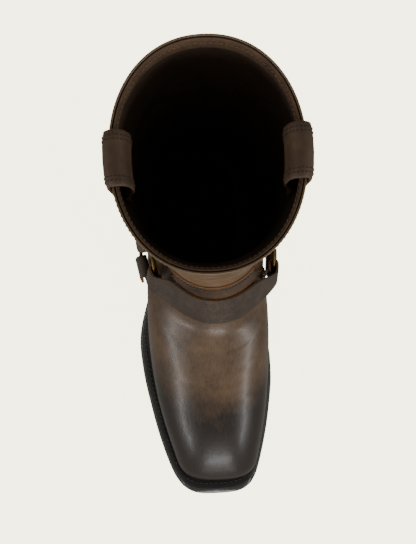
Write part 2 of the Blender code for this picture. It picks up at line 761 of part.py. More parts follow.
def make_heel(stack_material, cap_material):
    """The stacked heel under the sole and the rubber cap that stands on the ground."""
    top_xs, top_lateral, top_medial = outline(EDGE_BEVEL, EDGE_BEVEL, 0.0, HEEL_LENGTH)
    top = (top_xs, top_lateral, top_medial, sole_bottom(top_xs) - GAP)
    flat = np.ones_like(top_xs)
    middle_z = (HEEL_HEIGHT + HEEL_CAP_THICKNESS) / 2
    middle = heel_level(EDGE_BEVEL + HEEL_TAPER / 3, HEEL_TAPER * 0.7, BREAST_RAKE * 0.7,
                        flat * middle_z)
    seat = heel_level(EDGE_BEVEL + HEEL_TAPER / 2, HEEL_TAPER, BREAST_RAKE,
                      flat * (HEEL_CAP_THICKNESS + GAP))
    stack = slab("heel_stack", [seat, middle, top], stack_material)
    cap_top = seat[:3] + (flat * HEEL_CAP_THICKNESS,)
    tread = heel_level(EDGE_BEVEL + HEEL_TAPER / 2 + CAP_BEVEL, HEEL_TAPER,
                       BREAST_RAKE + CAP_BEVEL, flat * 0.0)
    cap_side = seat[:3] + (flat * CAP_BEVEL,)
    cap = slab("heel_cap", [tread, cap_side, cap_top], cap_material)
    return stack, cap


def strip(name, stations, thickness, material):
    """A leather strip along a path. Each station has a centre, a normal and a half width
    vector across the strip."""
    points = []
    for centre, normal, across in stations:
        lift = normal * thickness / 2
        points.extend([centre - across - lift, centre + across - lift,
                       centre + across + lift, centre - across + lift])
    faces = grid_faces(len(stations), 4, closed_columns=True)
    last = 4 * (len(stations) - 1)
    faces.append((0, 1, 2, 3))
    faces.append((last + 3, last + 2, last + 1, last))
    return new_object(name, points, faces, material, sharp=0.6)


def unit(vector):
    return vector / np.linalg.norm(vector)


class RingSeat:
    """Where a harness ring lies against the ankle: its centre and its way out."""

    def __init__(self, body, side):
        self.side = side
        start = np.array([RING_CENTRE_X, side * FAR_BACK, RING_CENTRE_Z])
        spots = []
        for dx, dz in ((-1, 0), (1, 0), (0, -1), (0, 1), (0, 0)):
            look = start + np.array([dx, 0, dz]) * RING_RADIUS
            spots.append(body.hit(look, (0, -side, 0))[0])
        forward = unit(spots[1] - spots[0])
        out = unit(np.cross(spots[3] - spots[2], forward))
        self.out = out * np.sign(out[1]) * side
        upward = np.cross(self.out, forward)
        far = RING_RADIUS + TAIL_LENGTH * 0.7
        heights = []
        for reach in (0.0, RING_RADIUS / 2, RING_RADIUS, far):
            for turn in np.linspace(0, 2 * np.pi, RING_SEGMENTS, endpoint=False):
                place_in = forward * np.cos(turn) + upward * np.sin(turn)
                heights.append(body.height_at(spots[4] + place_in * reach, self.out))
        stand_off = 2 * GAP + STRAP_THICKNESS + RING_WIRE / 2
        self.centre = spots[4] + self.out * (stand_off + max(heights))

    def way_to(self, target):
        """Unit direction in the ring's plane toward a target."""
        way = target - self.centre
        return unit(way - self.out * np.dot(way, self.out))


def make_ring(seat, material):
    bpy.ops.mesh.primitive_torus_add(
        major_radius=RING_RADIUS, minor_radius=RING_WIRE / 2,
        major_segments=RING_SEGMENTS, minor_segments=WIRE_SEGMENTS)
    item = bpy.context.object
    item.location = Vector(seat.centre)
    item.rotation_euler = Vector(seat.out).to_track_quat("Z", "Y").to_euler()
    return own(item, "ring_" + side_name(seat.side), material, 3.0)


def folded_end(seat, way):
    """Stations of a strap's end, from the tail's tip round the ring's wire to the outer side."""
    half = STRAP_END_WIDTH / 2
    chord = np.sqrt(RING_RADIUS ** 2 - half ** 2)
    height = RING_WIRE / 2 + GAP + STRAP_THICKNESS / 2
    bend = chord - RING_WIRE / 2 - GAP
    across = np.cross(way, seat.out) * half
    path = [(bend + TAIL_LENGTH, -height, 0.0), (bend + TAIL_LENGTH * 0.5, -height, 0.0)]
    for turn in np.linspace(0, np.pi, FOLD_STATIONS):
        path.append((bend - (height - STRAP_THICKNESS / 4) * np.sin(turn) * FOLD_DEPTH,
                     -height * np.cos(turn), turn))
    path.append((RING_RADIUS + RING_WIRE, height, np.pi))
    stations = []
    for reach, up, turn in path:
        normal = -seat.out * np.cos(turn) - way * np.sin(turn)
        stations.append((seat.centre + way * reach + seat.out * up, normal, across))
    return stations


def cleared(body, station):
    """The same station of a strap, moved out until it clears the body and its layers."""
    centre, normal, across = station
    along = unit(np.cross(normal, across))
    heights = []
    for share in np.linspace(-1, 1, 9):
        for step in np.linspace(-0.8, 0.8, 5):
            under = centre + across * share + along * step * STRAP_STEP
            heights.append(body.height_at(under, normal))
    return centre + normal * max(0.0, max(heights) + STRAP_LIFT), normal, across


def laid_station(body, spot, normal, upright, half):
    """One station of a flat strap that rests on the body at a place."""
    across = unit(upright - normal * np.dot(upright, normal))
    return cleared(body, (spot, normal, across * half))


def laid_stations(body, middle, forward, half_turn):
    """Evenly spaced stations of a strap laid round the body, seen from a middle point."""
    upright = unit(np.cross(forward, (0.0, 1.0, 0.0)))
    upright = upright * np.sign(upright[2])
    spots = []
    for turn in np.linspace(-half_turn, half_turn, STRAP_LOOKS):
        way = forward * np.cos(turn) + np.array([0.0, np.sin(turn), 0.0])
        spots.append(body.hit(middle + way * FAR_BACK, -way))
    places = np.array([s[0] for s in spots])
    lengths = np.concatenate([[0], np.cumsum(np.linalg.norm(np.diff(places, axis=0), axis=1))])
    count = int(np.ceil(lengths[-1] / STRAP_STEP))
    stations = []
    for length in np.linspace(0, lengths[-1], count + 1):
        spot, normal = spots[int(np.argmin(abs(lengths - length)))]
        stations.append(laid_station(body, spot, normal, upright, STRAP_WIDTH / 2))
    return stations


def smooth_path(body, stations, first, last):
    """Fill a stretch between two stations with ones on a smooth curve, clear of the body."""
    centres = np.array([s[0] for s in stations])
    knots = np.concatenate([[0], np.cumsum(np.linalg.norm(np.diff(centres, axis=0), axis=1))])
    values = np.array([np.concatenate(s) for s in stations])
    places = np.linspace(knots[first], knots[last], FREE_STATIONS + 2)[1:-1]
    rows = natural_spline(knots, values, places)
    return [cleared(body, (row[0:3], unit(row[3:6]), row[6:9])) for row in rows]


def facing(stations, across):
    """The same stations, with their across vectors turned to agree with a given one."""
    return [(c, n, a if np.dot(a, across) > 0 else -a) for c, n, a in stations]


def make_harness_strap(body, seats, name, target, half_turn, material):
    """A strap from ring to ring, over the instep or round the back of the ankle."""
    lateral, medial = seats
    middle = (lateral.centre + medial.centre) / 2
    forward = unit(target - middle * (1, 0, 1))
    laid = laid_stations(body, middle, forward, half_turn)
    start = facing(folded_end(lateral, lateral.way_to(laid[0][0])), laid[0][2])
    end = facing(folded_end(medial, medial.way_to(laid[-1][0])), laid[-1][2])
    free_start = smooth_path(body, start[-2:] + laid[:3], 1, 2)
    free_end = smooth_path(body, laid[-3:] + end[-2:][::-1], 2, 3)
    stations = start + free_start + laid + free_end + end[::-1]
    return strip(name, stations, STRAP_THICKNESS, material)


def make_arch_strap(body, seat, material):
    """A short strap from a ring down to the welt at the waist."""
    half = STRAP_END_WIDTH / 2
    foot_x = ARCH_STRAP_X
    outward = unit(seat.out * (1, 1, 0))
    inward = np.array([0.0, -seat.side, 0.0])
    slope = (rim_height(foot_x + half) - rim_height(foot_x - half)) / (2 * half)
    low = rim_height(foot_x) + GAP
    top = seat.centre[2] - RING_RADIUS - 2 * RING_WIRE
    laid = []
    for share in np.linspace(0, 1, ARCH_STATIONS):
        upright = np.array([1.0, 0.0, slope * share])
        start = np.array([foot_x, seat.side * FAR_BACK, top + (low - top) * share])
        spot = body.hit(start, inward)[0]
        laid.append(laid_station(body, spot, outward, upright, half))
    stations = folded_end(seat, seat.way_to(laid[0][0]))
    return strip("arch_strap_" + side_name(seat.side), facing(stations, laid[0][2]) + laid,
                 STRAP_THICKNESS, material)


def make_pull_strap(body, side, material):
    """A loop of strap sewn outside and inside the shaft, standing over the collar."""
    half = PULL_THICKNESS / 2
    outside = GAP + half
    inside = -(WALL + GAP + 2 * FACET_ROOM + half)
    path = [(outside, -PULL_DROP), (outside, -PULL_DROP * 0.6)]
    for point in PULL_ARCH:
        scale = PULL_RISE if point.up > 0 else PULL_DROP
        path.append((outside - point.out * PULL_REACH, point.up * scale))
    path += [(inside, -PULL_DROP), (inside, -PULL_DROP * 1.2)]
    path = np.array(path)
    knots = np.concatenate([[0], np.cumsum(np.linalg.norm(np.diff(path, axis=0), axis=1))])
    places = np.linspace(0, knots[-1], PULL_STATIONS)
    curve = natural_spline(knots, path, places)
    curve[0], curve[-1] = path[0], path[-1]
    way = np.gradient(curve, axis=0)
    turned = np.stack([way[:, 1], -way[:, 0]], axis=1)
    turned /= np.linalg.norm(turned, axis=1)[:, None]
    grids = []
    for sign in (1, -1):
        grid = []
        for (out, up), (turn_out, turn_up) in zip(curve, turned):
            row = []
            for share in np.linspace(-0.5, 0.5, PULL_COLUMNS):
                x = PULL_CENTRE_X + PULL_WIDTH * share
                z = SHAFT_HEIGHT + min(up, -COLLAR_STEP)
                spot, _ = body.hit((x, side * FAR_BACK, z), (0, -side, 0))
                reach = out + sign * half * turn_out
                row.append(np.array([x, spot[1] + side * reach,
                                     SHAFT_HEIGHT + up + sign * half * turn_up]))
            grid.append(row)
        grids.append(grid)
    return shell("pull_strap_" + side_name(side), grids[0], grids[1], material, sharp=0.6)


def clear_scene():
    for item in list(bpy.data.objects):
        bpy.data.objects.remove(item)


def main():
    clear_scene()
    boot = bpy.data.collections.new("harness_boot")
    bpy.context.scene.collection.children.link(boot)
    frame = bpy.data.objects.new("boot_frame", None)
    boot.objects.link(frame)
    frame.location = (-HEEL_LENGTH / 2, -HEEL_SHIFT, 0)
    leather = new_material("leather", COLOURS["leather"], 0.5)
    strap_leather = new_material("strap_leather", COLOURS["strap_leather"], 0.55)
    lining = new_material("lining", COLOURS["lining"], 0.7)
    sole_black = new_material("sole_black", COLOURS["sole_black"], 0.4)
    heel_black = new_material("heel_black", COLOURS["heel_black"], 0.4)
    rubber = new_material("rubber", COLOURS["rubber"], 0.8)
    brass = new_material("old_brass", COLOURS["old_brass"], 0.35, 1.0)
    body = Body()
    body.lay(make_upper(leather))
    body.lay(make_vamp(body, leather))
    body.lay(make_counter(body, leather))
    make_outsole(sole_black)
    make_welt(sole_black)
    make_insole(lining)
    make_heel(heel_black, rubber)
    seats = [RingSeat(body, LATERAL), RingSeat(body, MEDIAL)]
    instep = np.array([STRAP_INSTEP_X, 0.0, STRAP_INSTEP_Z])
    heel = np.array([0.0, 0.0, HEEL_STRAP_Z])
    make_harness_strap(body, seats, "instep_strap", instep, np.radians(48), strap_leather)
    make_harness_strap(body, seats, "heel_strap", heel, np.radians(52), strap_leather)
    for seat in seats:
        make_ring(seat, brass)
        make_arch_strap(body, seat, strap_leather)
        make_pull_strap(body, seat.side, strap_leather)


main()
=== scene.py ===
"""Dressed scene of a right harness boot: burnished leather, harness, stitches and studio."""
from __future__ import annotations

import logging
import math
from dataclasses import dataclass, field
from enum import Enum
from typing import Sequence

import bmesh
import bpy
import numpy as np
from mathutils import Matrix, Vector
from mathutils.bvhtree import BVHTree


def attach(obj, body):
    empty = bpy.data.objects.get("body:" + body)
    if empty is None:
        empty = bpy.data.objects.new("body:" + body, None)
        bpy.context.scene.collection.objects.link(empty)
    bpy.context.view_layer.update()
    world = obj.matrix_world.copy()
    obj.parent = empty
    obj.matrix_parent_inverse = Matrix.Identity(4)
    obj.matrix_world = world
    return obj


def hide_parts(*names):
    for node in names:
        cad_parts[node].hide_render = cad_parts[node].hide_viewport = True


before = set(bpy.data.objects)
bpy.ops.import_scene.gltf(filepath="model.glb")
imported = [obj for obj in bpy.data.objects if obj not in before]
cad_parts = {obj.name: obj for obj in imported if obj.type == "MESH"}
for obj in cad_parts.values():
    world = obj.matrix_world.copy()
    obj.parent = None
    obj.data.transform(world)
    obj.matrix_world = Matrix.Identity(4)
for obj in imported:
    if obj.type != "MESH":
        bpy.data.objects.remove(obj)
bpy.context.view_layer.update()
LOG = logging.getLogger("harness_boot")
MM = 0.001
# Clearance between two leathers that are laid on each other.
CLEARANCE = 0.05 * MM
# Points closer than these are one point: in the CAD's facets and in the sheets made here.
CAD_WELD = 0.01 * MM
SHEET_WELD = 0.002 * MM
# Edges of a CAD node that bend more than this are rounded in its softer copy.
SHARP_BEND = math.radians(50)
# Cosine between two edges of a point that run on nearly straight.
STRAIGHT_ON = -0.95
# A strap's face counts as its cut edge up to this many times the strap's thickness in width.
EDGE_SLACK = 1.3


class Side(Enum):
    """Sides of the foot along Y."""

    LATERAL = -1
    MEDIAL = 1

    @property
    def word(self) -> str:
        """The side's name as the nodes write it."""
        return self.name.lower()

    @property
    def column(self) -> int:
        """The side's column in the tables of the sole."""
        return 1 if self is Side.LATERAL else 2


def linear(hex_colour: str) -> tuple[float, float, float, float]:
    """Turn an sRGB hex colour into linear values.

    Args:
        hex_colour: Six hex digits.

    Returns:
        Linear red, green, blue and an alpha of one.
    """
    parts = [int(hex_colour[i:i + 2], 16) / 255 for i in (0, 2, 4)]
    values = [p / 12.92 if p <= 0.04045 else ((p + 0.055) / 1.055) ** 2.4 for p in parts]
    return values[0], values[1], values[2], 1.0


def steady(knots: Sequence[float], values: Sequence[float], where: np.ndarray) -> np.ndarray:
    """Read a cubic curve through a table's rows that never swings past them.

    Args:
        knots: Places of the rows.
        values: Values of the rows.
        where: Places to read.

    Returns:
        One value for each place.
    """
    k = np.asarray(knots, float)
    v = np.asarray(values, float)
    steps = np.diff(k)
    rises = np.diff(v) / steps
    slopes = np.zeros(len(k))
    slopes[0], slopes[-1] = rises[0], rises[-1]
    for i in range(1, len(k) - 1):
        if rises[i - 1] * rises[i] > 0:
            near = 2 * steps[i] + steps[i - 1]
            far = steps[i] + 2 * steps[i - 1]
            slopes[i] = (near + far) / (near / rises[i - 1] + far / rises[i])
    x = np.atleast_1d(where).astype(float)
    i = np.clip(np.searchsorted(k, x) - 1, 0, len(k) - 2)
    h = steps[i]
    t = np.clip((x - k[i]) / h, 0, 1)
    curve = v[i] * (1 + 2 * t) * (1 - t) ** 2 + v[i + 1] * t ** 2 * (3 - 2 * t)
    return curve + h * (slopes[i] * t * (1 - t) ** 2 - slopes[i + 1] * t ** 2 * (1 - t))


def spline(knots: np.ndarray, values: np.ndarray, where: np.ndarray) -> np.ndarray:
    """Read a smooth natural cubic curve through rows of values.

    Args:
        knots: Places of the rows.
        values: Rows of one or more columns.
        where: Places to read.

    Returns:
        One row for each place.
    """
    flat = values.reshape(len(knots), -1)
    steps = np.diff(knots)
    size = len(knots)
    matrix = np.eye(size)
    right = np.zeros_like(flat)
    for i in range(1, size - 1):
        matrix[i, i - 1:i + 2] = steps[i - 1], 2 * (steps[i - 1] + steps[i]), steps[i]
        right[i] = 6 * ((flat[i + 1] - flat[i]) / steps[i] - (flat[i] - flat[i - 1]) / steps[i - 1])
    bends = np.linalg.solve(matrix, right)
    x = np.atleast_1d(where).astype(float)
    i = np.clip(np.searchsorted(knots, x) - 1, 0, size - 2)
    h = steps[i][:, None]
    a = (knots[i + 1] - x)[:, None] / h
    b = 1 - a
    curve = a * flat[i] + b * flat[i + 1]
    curve += ((a ** 3 - a) * bends[i] + (b ** 3 - b) * bends[i + 1]) * h ** 2 / 6
    return curve


def read_table(rows: Sequence[tuple], column: int, where: np.ndarray | float) -> np.ndarray:
    """Read one column of a table whose first column holds the places.

    Args:
        rows: Rows of the table.
        column: Column to read.
        where: Places to read.

    Returns:
        One value for each place.
    """
    table = np.array(rows)
    return steady(table[:, 0], table[:, column], where)


def run_length(points: np.ndarray) -> np.ndarray:
    """Length of a path up to each of its points."""
    return np.concatenate([[0], np.cumsum(np.linalg.norm(np.diff(points, axis=0), axis=1))])


def unit(vectors: np.ndarray) -> np.ndarray:
    """Scale vectors to length one."""
    return vectors / np.maximum(np.linalg.norm(vectors, axis=-1, keepdims=True), 1e-12)


def rise(low: float, high: float, value: np.ndarray) -> np.ndarray:
    """A smooth step from 0 at low to 1 at high."""
    t = np.clip((np.asarray(value, float) - low) / (high - low), 0, 1)
    return t * t * (3 - 2 * t)


# The tables are the CAD source's. Sides of the sole: x share, lateral and medial half width.
SOLE_SIDES = [
    (0.00, 0.372, 0.352), (0.15, 0.376, 0.357), (0.31, 0.387, 0.362), (0.385, 0.374, 0.376),
    (0.44, 0.412, 0.408), (0.50, 0.463, 0.448), (0.56, 0.488, 0.478), (0.61, 0.479, 0.497),
    (0.67, 0.460, 0.497), (0.73, 0.428, 0.479), (0.80, 0.388, 0.450), (0.88, 0.328, 0.401),
    (1.00, 0.226, 0.316)]
# Underside of the sole: x share and height as a share of the heel's height.
SOLE_RISES = [
    (0.00, 1.00), (0.15, 0.95), (0.31, 0.88), (0.345, 0.82), (0.385, 0.71), (0.43, 0.55),
    (0.48, 0.34), (0.53, 0.155), (0.58, 0.04), (0.625, 0.00), (0.73, 0.00)]
# Distance from the sole's edge to the upper's foot line: x share, lateral, medial.
FEATHER_MARGINS = [
    (0.00, .0048, .0048), (0.31, .0050, .0050), (0.385, .0062, .0052), (0.44, .0072, .0056),
    (0.52, .0100, .0068), (0.62, .0132, .0078), (0.73, .0140, .0080), (1.00, .0140, .0080)]
# Sections of the upper from the collar to the toe, as shares of the last's own lengths: share of
# the collar's oval, front x and z, ridge y, back x, z and y, lateral and medial half width, where
# each of them is widest, and the powers of the front and the back quarter.
SECTIONS = [
    (1, .409, 1.30, .070, .035, 1.42, .060, .357, .496, .50, .50, 2.15, 2.15),
    (0, .409, 1.30, .078, .035, 1.42, .048, .357, .496, .50, .48, 2.10, 2.10),
    (0, .427, 1.08, .084, .017, 0.80, .022, .332, .472, .52, .44, 2.05, 2.30),
    (0, .456, 0.892, .092, .0115, 0.25, .000, .318, .457, .57, .38, 2.00, 2.65),
    (0, .478, 0.812, .096, .0162, 0.00, -.013, .325, .450, .62, .34, 2.00, 2.85),
    (0, .513, 0.695, .104, .067, 0.00, -.013, .345, .446, .64, .36, 2.00, 2.70),
    (0, .566, 0.602, .110, .202, 0.00, -.013, .362, .443, .66, .45, 2.00, 2.40),
    (0, .638, 0.541, .108, .364, 0.00, -.013, .380, .454, .72, .55, 2.00, 2.10),
    (0, .7155, 0.492, .098, .522, 0.00, -.013, .386, .455, .78, .66, 2.05, 2.10),
    (0, .795, 0.447, .088, .663, 0.00, -.013, .350, .434, .80, .74, 2.15, 2.10),
    (0, .870, 0.385, .082, .774, 0.00, -.013, .290, .395, .82, .80, 2.30, 2.10),
    (0, .926, 0.296, .080, .838, 0.00, -.013, .244, .360, .86, .86, 2.50, 2.10),
    (0, .950, 0.195, .080, .872, 0.00, -.013, .217, .338, .90, .90, 2.80, 2.10),
    (0, .9509, 0.126, .080, .882, 0.00, -.013, .205, .328, .97, .97, 3.00, 2.10)]
# Way round that the vamp covers at a section number.
VAMP_EDGES = [(2.30, .200), (3.00, .215), (4.00, .262), (5.00, .360), (6.00, .600),
              (6.70, .860), (7.00, 1.000)]
# Height of the counter as a share of the instep's, from the heel to its front edge.
COUNTER_EDGES = [(0.00, 0.90), (0.20, 0.86), (0.45, 0.74), (0.75, 0.61), (1.00, 0.53)]
# Middle line of a pull strap: shares of its reach inwards and of its rise or drop. The last two
# rows lie up to 1.3 mm closer to the wall than the CAD's.
PULL_ARCH = [(.00, -.22), (-.02, .00), (-.01, .45), (.09, .86), (.31, 1.00), (.54, .86),
             (.68, .45), (.74, .00), (.70, -.24), (.50, -.52), (.30, -.76)]


@dataclass(frozen=True)
class Last:
    """The body of the boot as one surface, read by section number and way round."""

    sole_length: float = 0.297
    ball_width: float = 0.115
    heel_height: float = 0.041
    toe_spring: float = 0.009
    tread_end: float = 0.73
    stack: float = 0.0101
    shaft_height: float = 0.335
    collar_length: float = 0.142
    collar_width: float = 0.116
    collar_back: float = -0.005
    collar_shift: float = 0.008
    instep_height: float = 0.127
    heel_margin: float = 0.0048
    toe_margin: float = 0.0146
    heel_round: float = 0.145
    heel_power: float = 2.3
    toe_round: float = 0.118
    toe_powers: tuple[float, float] = (3.3, 4.0)
    toe_middle: float = 0.026
    first_foot: int = 4
    shift: tuple[float, float, float] = (-0.046, 0.0015, 0.0)
    cache: dict = field(default_factory=dict)

    def sole_bottom(self, x: np.ndarray) -> np.ndarray:
        """Height of the sole's underside.

        Args:
            x: Distances from the sole's back.

        Returns:
            Heights over the floor.
        """
        share = np.clip(x / self.sole_length, 0, self.tread_end)
        height = self.heel_height * read_table(SOLE_RISES, 1, share)
        ahead = np.clip(x / self.sole_length - self.tread_end, 0, None) / (1 - self.tread_end)
        return height + self.toe_spring * ahead ** 2

    def outline(self, x: np.ndarray, side: Side, inset: np.ndarray | float,
                heel_inset: float, toe_inset: float) -> np.ndarray:
        """Side position of an outline inset from the sole's own.

        Args:
            x: Distances from the sole's back.
            side: Side of the foot.
            inset: Inset along the sides.
            heel_inset: Inset at the back.
            toe_inset: Inset at the toe.

        Returns:
            Y positions.
        """
        x = np.atleast_1d(x).astype(float)
        along = x / self.sole_length
        half = self.ball_width * read_table(SOLE_SIDES, side.column, along) - inset
        heel_end = self.heel_round * self.sole_length
        toe_start = self.sole_length * (1 - self.toe_round)
        power = self.toe_powers[side.column - 1]
        back = np.clip((heel_end - x) / (heel_end - heel_inset), 0, 1)
        front = np.clip((x - toe_start) / (self.sole_length - toe_inset - toe_start), 0, 1)
        middle = self.toe_middle * self.ball_width * np.clip(along * 2 - 1, 0, 1)
        shape = (1 - back ** self.heel_power) ** (1 / self.heel_power)
        shape = shape * (1 - front ** power) ** (1 / power)
        return middle + (side.value * half - middle) * shape

    def feather(self, x: np.ndarray, side: Side) -> np.ndarray:
        """Side position of the upper's foot line at distances from the sole's back."""
        margin = read_table(FEATHER_MARGINS, side.column, np.atleast_1d(x) / self.sole_length)
        return self.outline(x, side, margin, self.heel_margin, self.toe_margin)

    def rim(self, x: np.ndarray) -> np.ndarray:
        """Height of the upper's lower rim over the welt."""
        return self.sole_bottom(np.asarray(x, float)) + self.stack

    def table(self) -> tuple[np.ndarray, np.ndarray]:
        """The sections in metres.

        Returns:
            Distances along the upper and one row of sizes for each section.
        """
        if "table" in self.cache:
            return self.cache["table"]
        heel_z = float(self.rim(np.array([self.heel_margin]))[0])
        half = self.collar_width / 2
        rows = []
        for up, fx, fz, ry, bx, rz, by, la, me, wl, wm, nf, nb in SECTIONS:
            size = np.array([fx * self.sole_length, fz * self.instep_height, bx * self.sole_length,
                             heel_z + rz * (self.instep_height - heel_z), ry * self.ball_width,
                             by * self.ball_width, la * self.ball_width, me * self.ball_width])
            collar = np.array([self.collar_back + self.collar_length, self.shaft_height,
                               self.collar_back, self.shaft_height, self.collar_shift,
                               self.collar_shift, half - self.collar_shift,
                               half + self.collar_shift])
            rows.append(np.concatenate([size + up * (collar - size), [wl, wm, nf, nb]]))
        sizes = np.array(rows)
        travel = (np.linalg.norm(np.diff(sizes[:, 0:2], axis=0), axis=1)
                  + np.linalg.norm(np.diff(sizes[:, 2:4], axis=0), axis=1)) / 2
        knots = np.concatenate([[0], np.cumsum(travel)])
        self.cache["table"] = (knots, sizes)
        return knots, sizes

    def half_row(self, section: float, side: Side,
                 count: int = 97) -> tuple[np.ndarray, np.ndarray]:
        """Points of one side of a section from the ridge to its end.

        Args:
            section: Section number, which may lie between two rows.
            side: Side of the foot.
            count: Points in each of the two quarter curves.

        Returns:
            Points and the length of the way to each of them.
        """
        knots, sizes = self.table()
        at = float(np.interp(section, range(len(SECTIONS)), knots))
        row = spline(knots, sizes, np.array([at]))[0]
        fx, fz, _, _, ridge, _, la, me, wl, wm, nf, nb = row
        ex, ez, ey = (float(steady(knots, sizes[:, i], np.array([at]))[0]) for i in (2, 3, 5))
        if section > self.first_foot:
            ex = max(ex, self.heel_margin)
            ez = float(self.rim(np.array([ex]))[0])
            ey = float(self.feather(np.array([ex]), side)[0])
        widest = -la if side is Side.LATERAL else me
        wide = wl if side is Side.LATERAL else wm
        turn = np.linspace(0, np.pi / 2, count)
        front = (np.cos(turn) ** nf + np.sin(turn) ** nf) ** (-1 / nf)
        back = (np.cos(turn) ** nb + np.sin(turn) ** nb) ** (-1 / nb)
        down = np.concatenate([wide * (1 - front * np.cos(turn)),
                               wide + (1 - wide) * (back * np.sin(turn))[1:]])
        out = np.concatenate([ridge + (widest - ridge) * front * np.sin(turn),
                              ey + (widest - ey) * (back * np.cos(turn))[1:]])
        points = np.stack([fx + (ex - fx) * down, out, fz + (ez - fz) * down], axis=1)
        return points, run_length(points)

    def row(self, section: float, arounds: np.ndarray) -> np.ndarray:
        """Points of a whole section.

        Args:
            section: Section number.
            arounds: Ways round, from -1 at the lateral end to 1 at the medial one.

        Returns:
            One point for each way round.
        """
        key = round(float(section), 6)
        if key not in self.cache:
            self.cache[key] = {side: self.half_row(key, side) for side in Side}
        result = np.zeros((len(arounds), 3))
        for side in Side:
            points, length = self.cache[key][side]
            mine = (arounds < 0) == (side is Side.LATERAL)
            shares = np.abs(arounds[mine]) * length[-1]
            result[mine] = np.stack([np.interp(shares, length, points[:, i]) for i in range(3)], 1)
        return result

    def half_length(self, section: float, side: Side) -> float:
        """Length of one side of a section."""
        self.row(section, np.array([0.5]))
        return float(self.cache[round(float(section), 6)][side][1][-1])

    def grid(self, sections: np.ndarray, arounds: np.ndarray) -> tuple[np.ndarray, np.ndarray]:
        """Points and ways out on a grid.

        Args:
            sections: Section numbers of the rows.
            arounds: Ways round, the same for each row or one row of them for each section.

        Returns:
            Points and ways out that never point down.
        """
        arounds = np.broadcast_to(arounds, (len(sections), np.shape(arounds)[-1]))
        points = np.stack([self.row(s, a) for s, a in zip(sections, arounds)])
        last = len(SECTIONS) - 1
        # How far the neighbours lie that give the ways out, along the last and round it.
        step, turn = 0.04, 0.03
        inner = np.clip(arounds, turn - 1, 1 - turn)
        along = np.stack([self.row(min(s + step, last), a) - self.row(max(s - step, 0), a)
                          for s, a in zip(sections, inner)])
        across = np.stack([self.row(s, a + turn) - self.row(s, a - turn)
                           for s, a in zip(sections, inner)])
        normals = unit(np.cross(along, across))
        # A way that would point down is made level, and longer, so that a sheet stays as thick.
        level = normals * (1, 1, 0)
        strength = np.maximum((level ** 2).sum(-1, keepdims=True), 0.5)
        return points, np.where(normals[..., 2:] >= 0, normals, level / strength)

    def over_welt(self, points: np.ndarray) -> np.ndarray:
        """Raise points to the height of the rim where they lie lower.

        Args:
            points: Grid of points.

        Returns:
            A raised copy of the grid.
        """
        result = np.array(points, float)
        rim = self.rim(result[..., 0].ravel()).reshape(result.shape[:-1])
        result[..., 2] = np.maximum(result[..., 2], rim)
        return result


LAST = Last()


def add_node(tree: bpy.types.NodeTree, kind: str, inputs: dict | None = None,
             **settings: object) -> bpy.types.Node:
    """Add a node with its settings, values and links.

    Args:
        tree: The material's tree.
        kind: Node type name.
        inputs: Values or output sockets by input name or number.
        **settings: Attributes of the node.

    Returns:
        The new node.
    """
    node = tree.nodes.new("ShaderNode" + kind)
    for name, value in settings.items():
        setattr(node, name, value)
    for name, value in (inputs or {}).items():
        if isinstance(value, bpy.types.NodeSocket):
            tree.links.new(value, node.inputs[name])
        else:
            node.inputs[name].default_value = value
    return node


def new_material(name: str, sockets: dict) -> tuple[bpy.types.Material, bpy.types.Node]:
    """Start a material and set its shader's own sockets.

    Args:
        name: Material name.
        sockets: Values by socket name.

    Returns:
        The material and its shader.
    """
    made = bpy.data.materials.new(name)
    made.use_nodes = True
    shader = made.node_tree.nodes["Principled BSDF"]
    for socket, value in sockets.items():
        shader.inputs[socket].default_value = value
    return made, shader


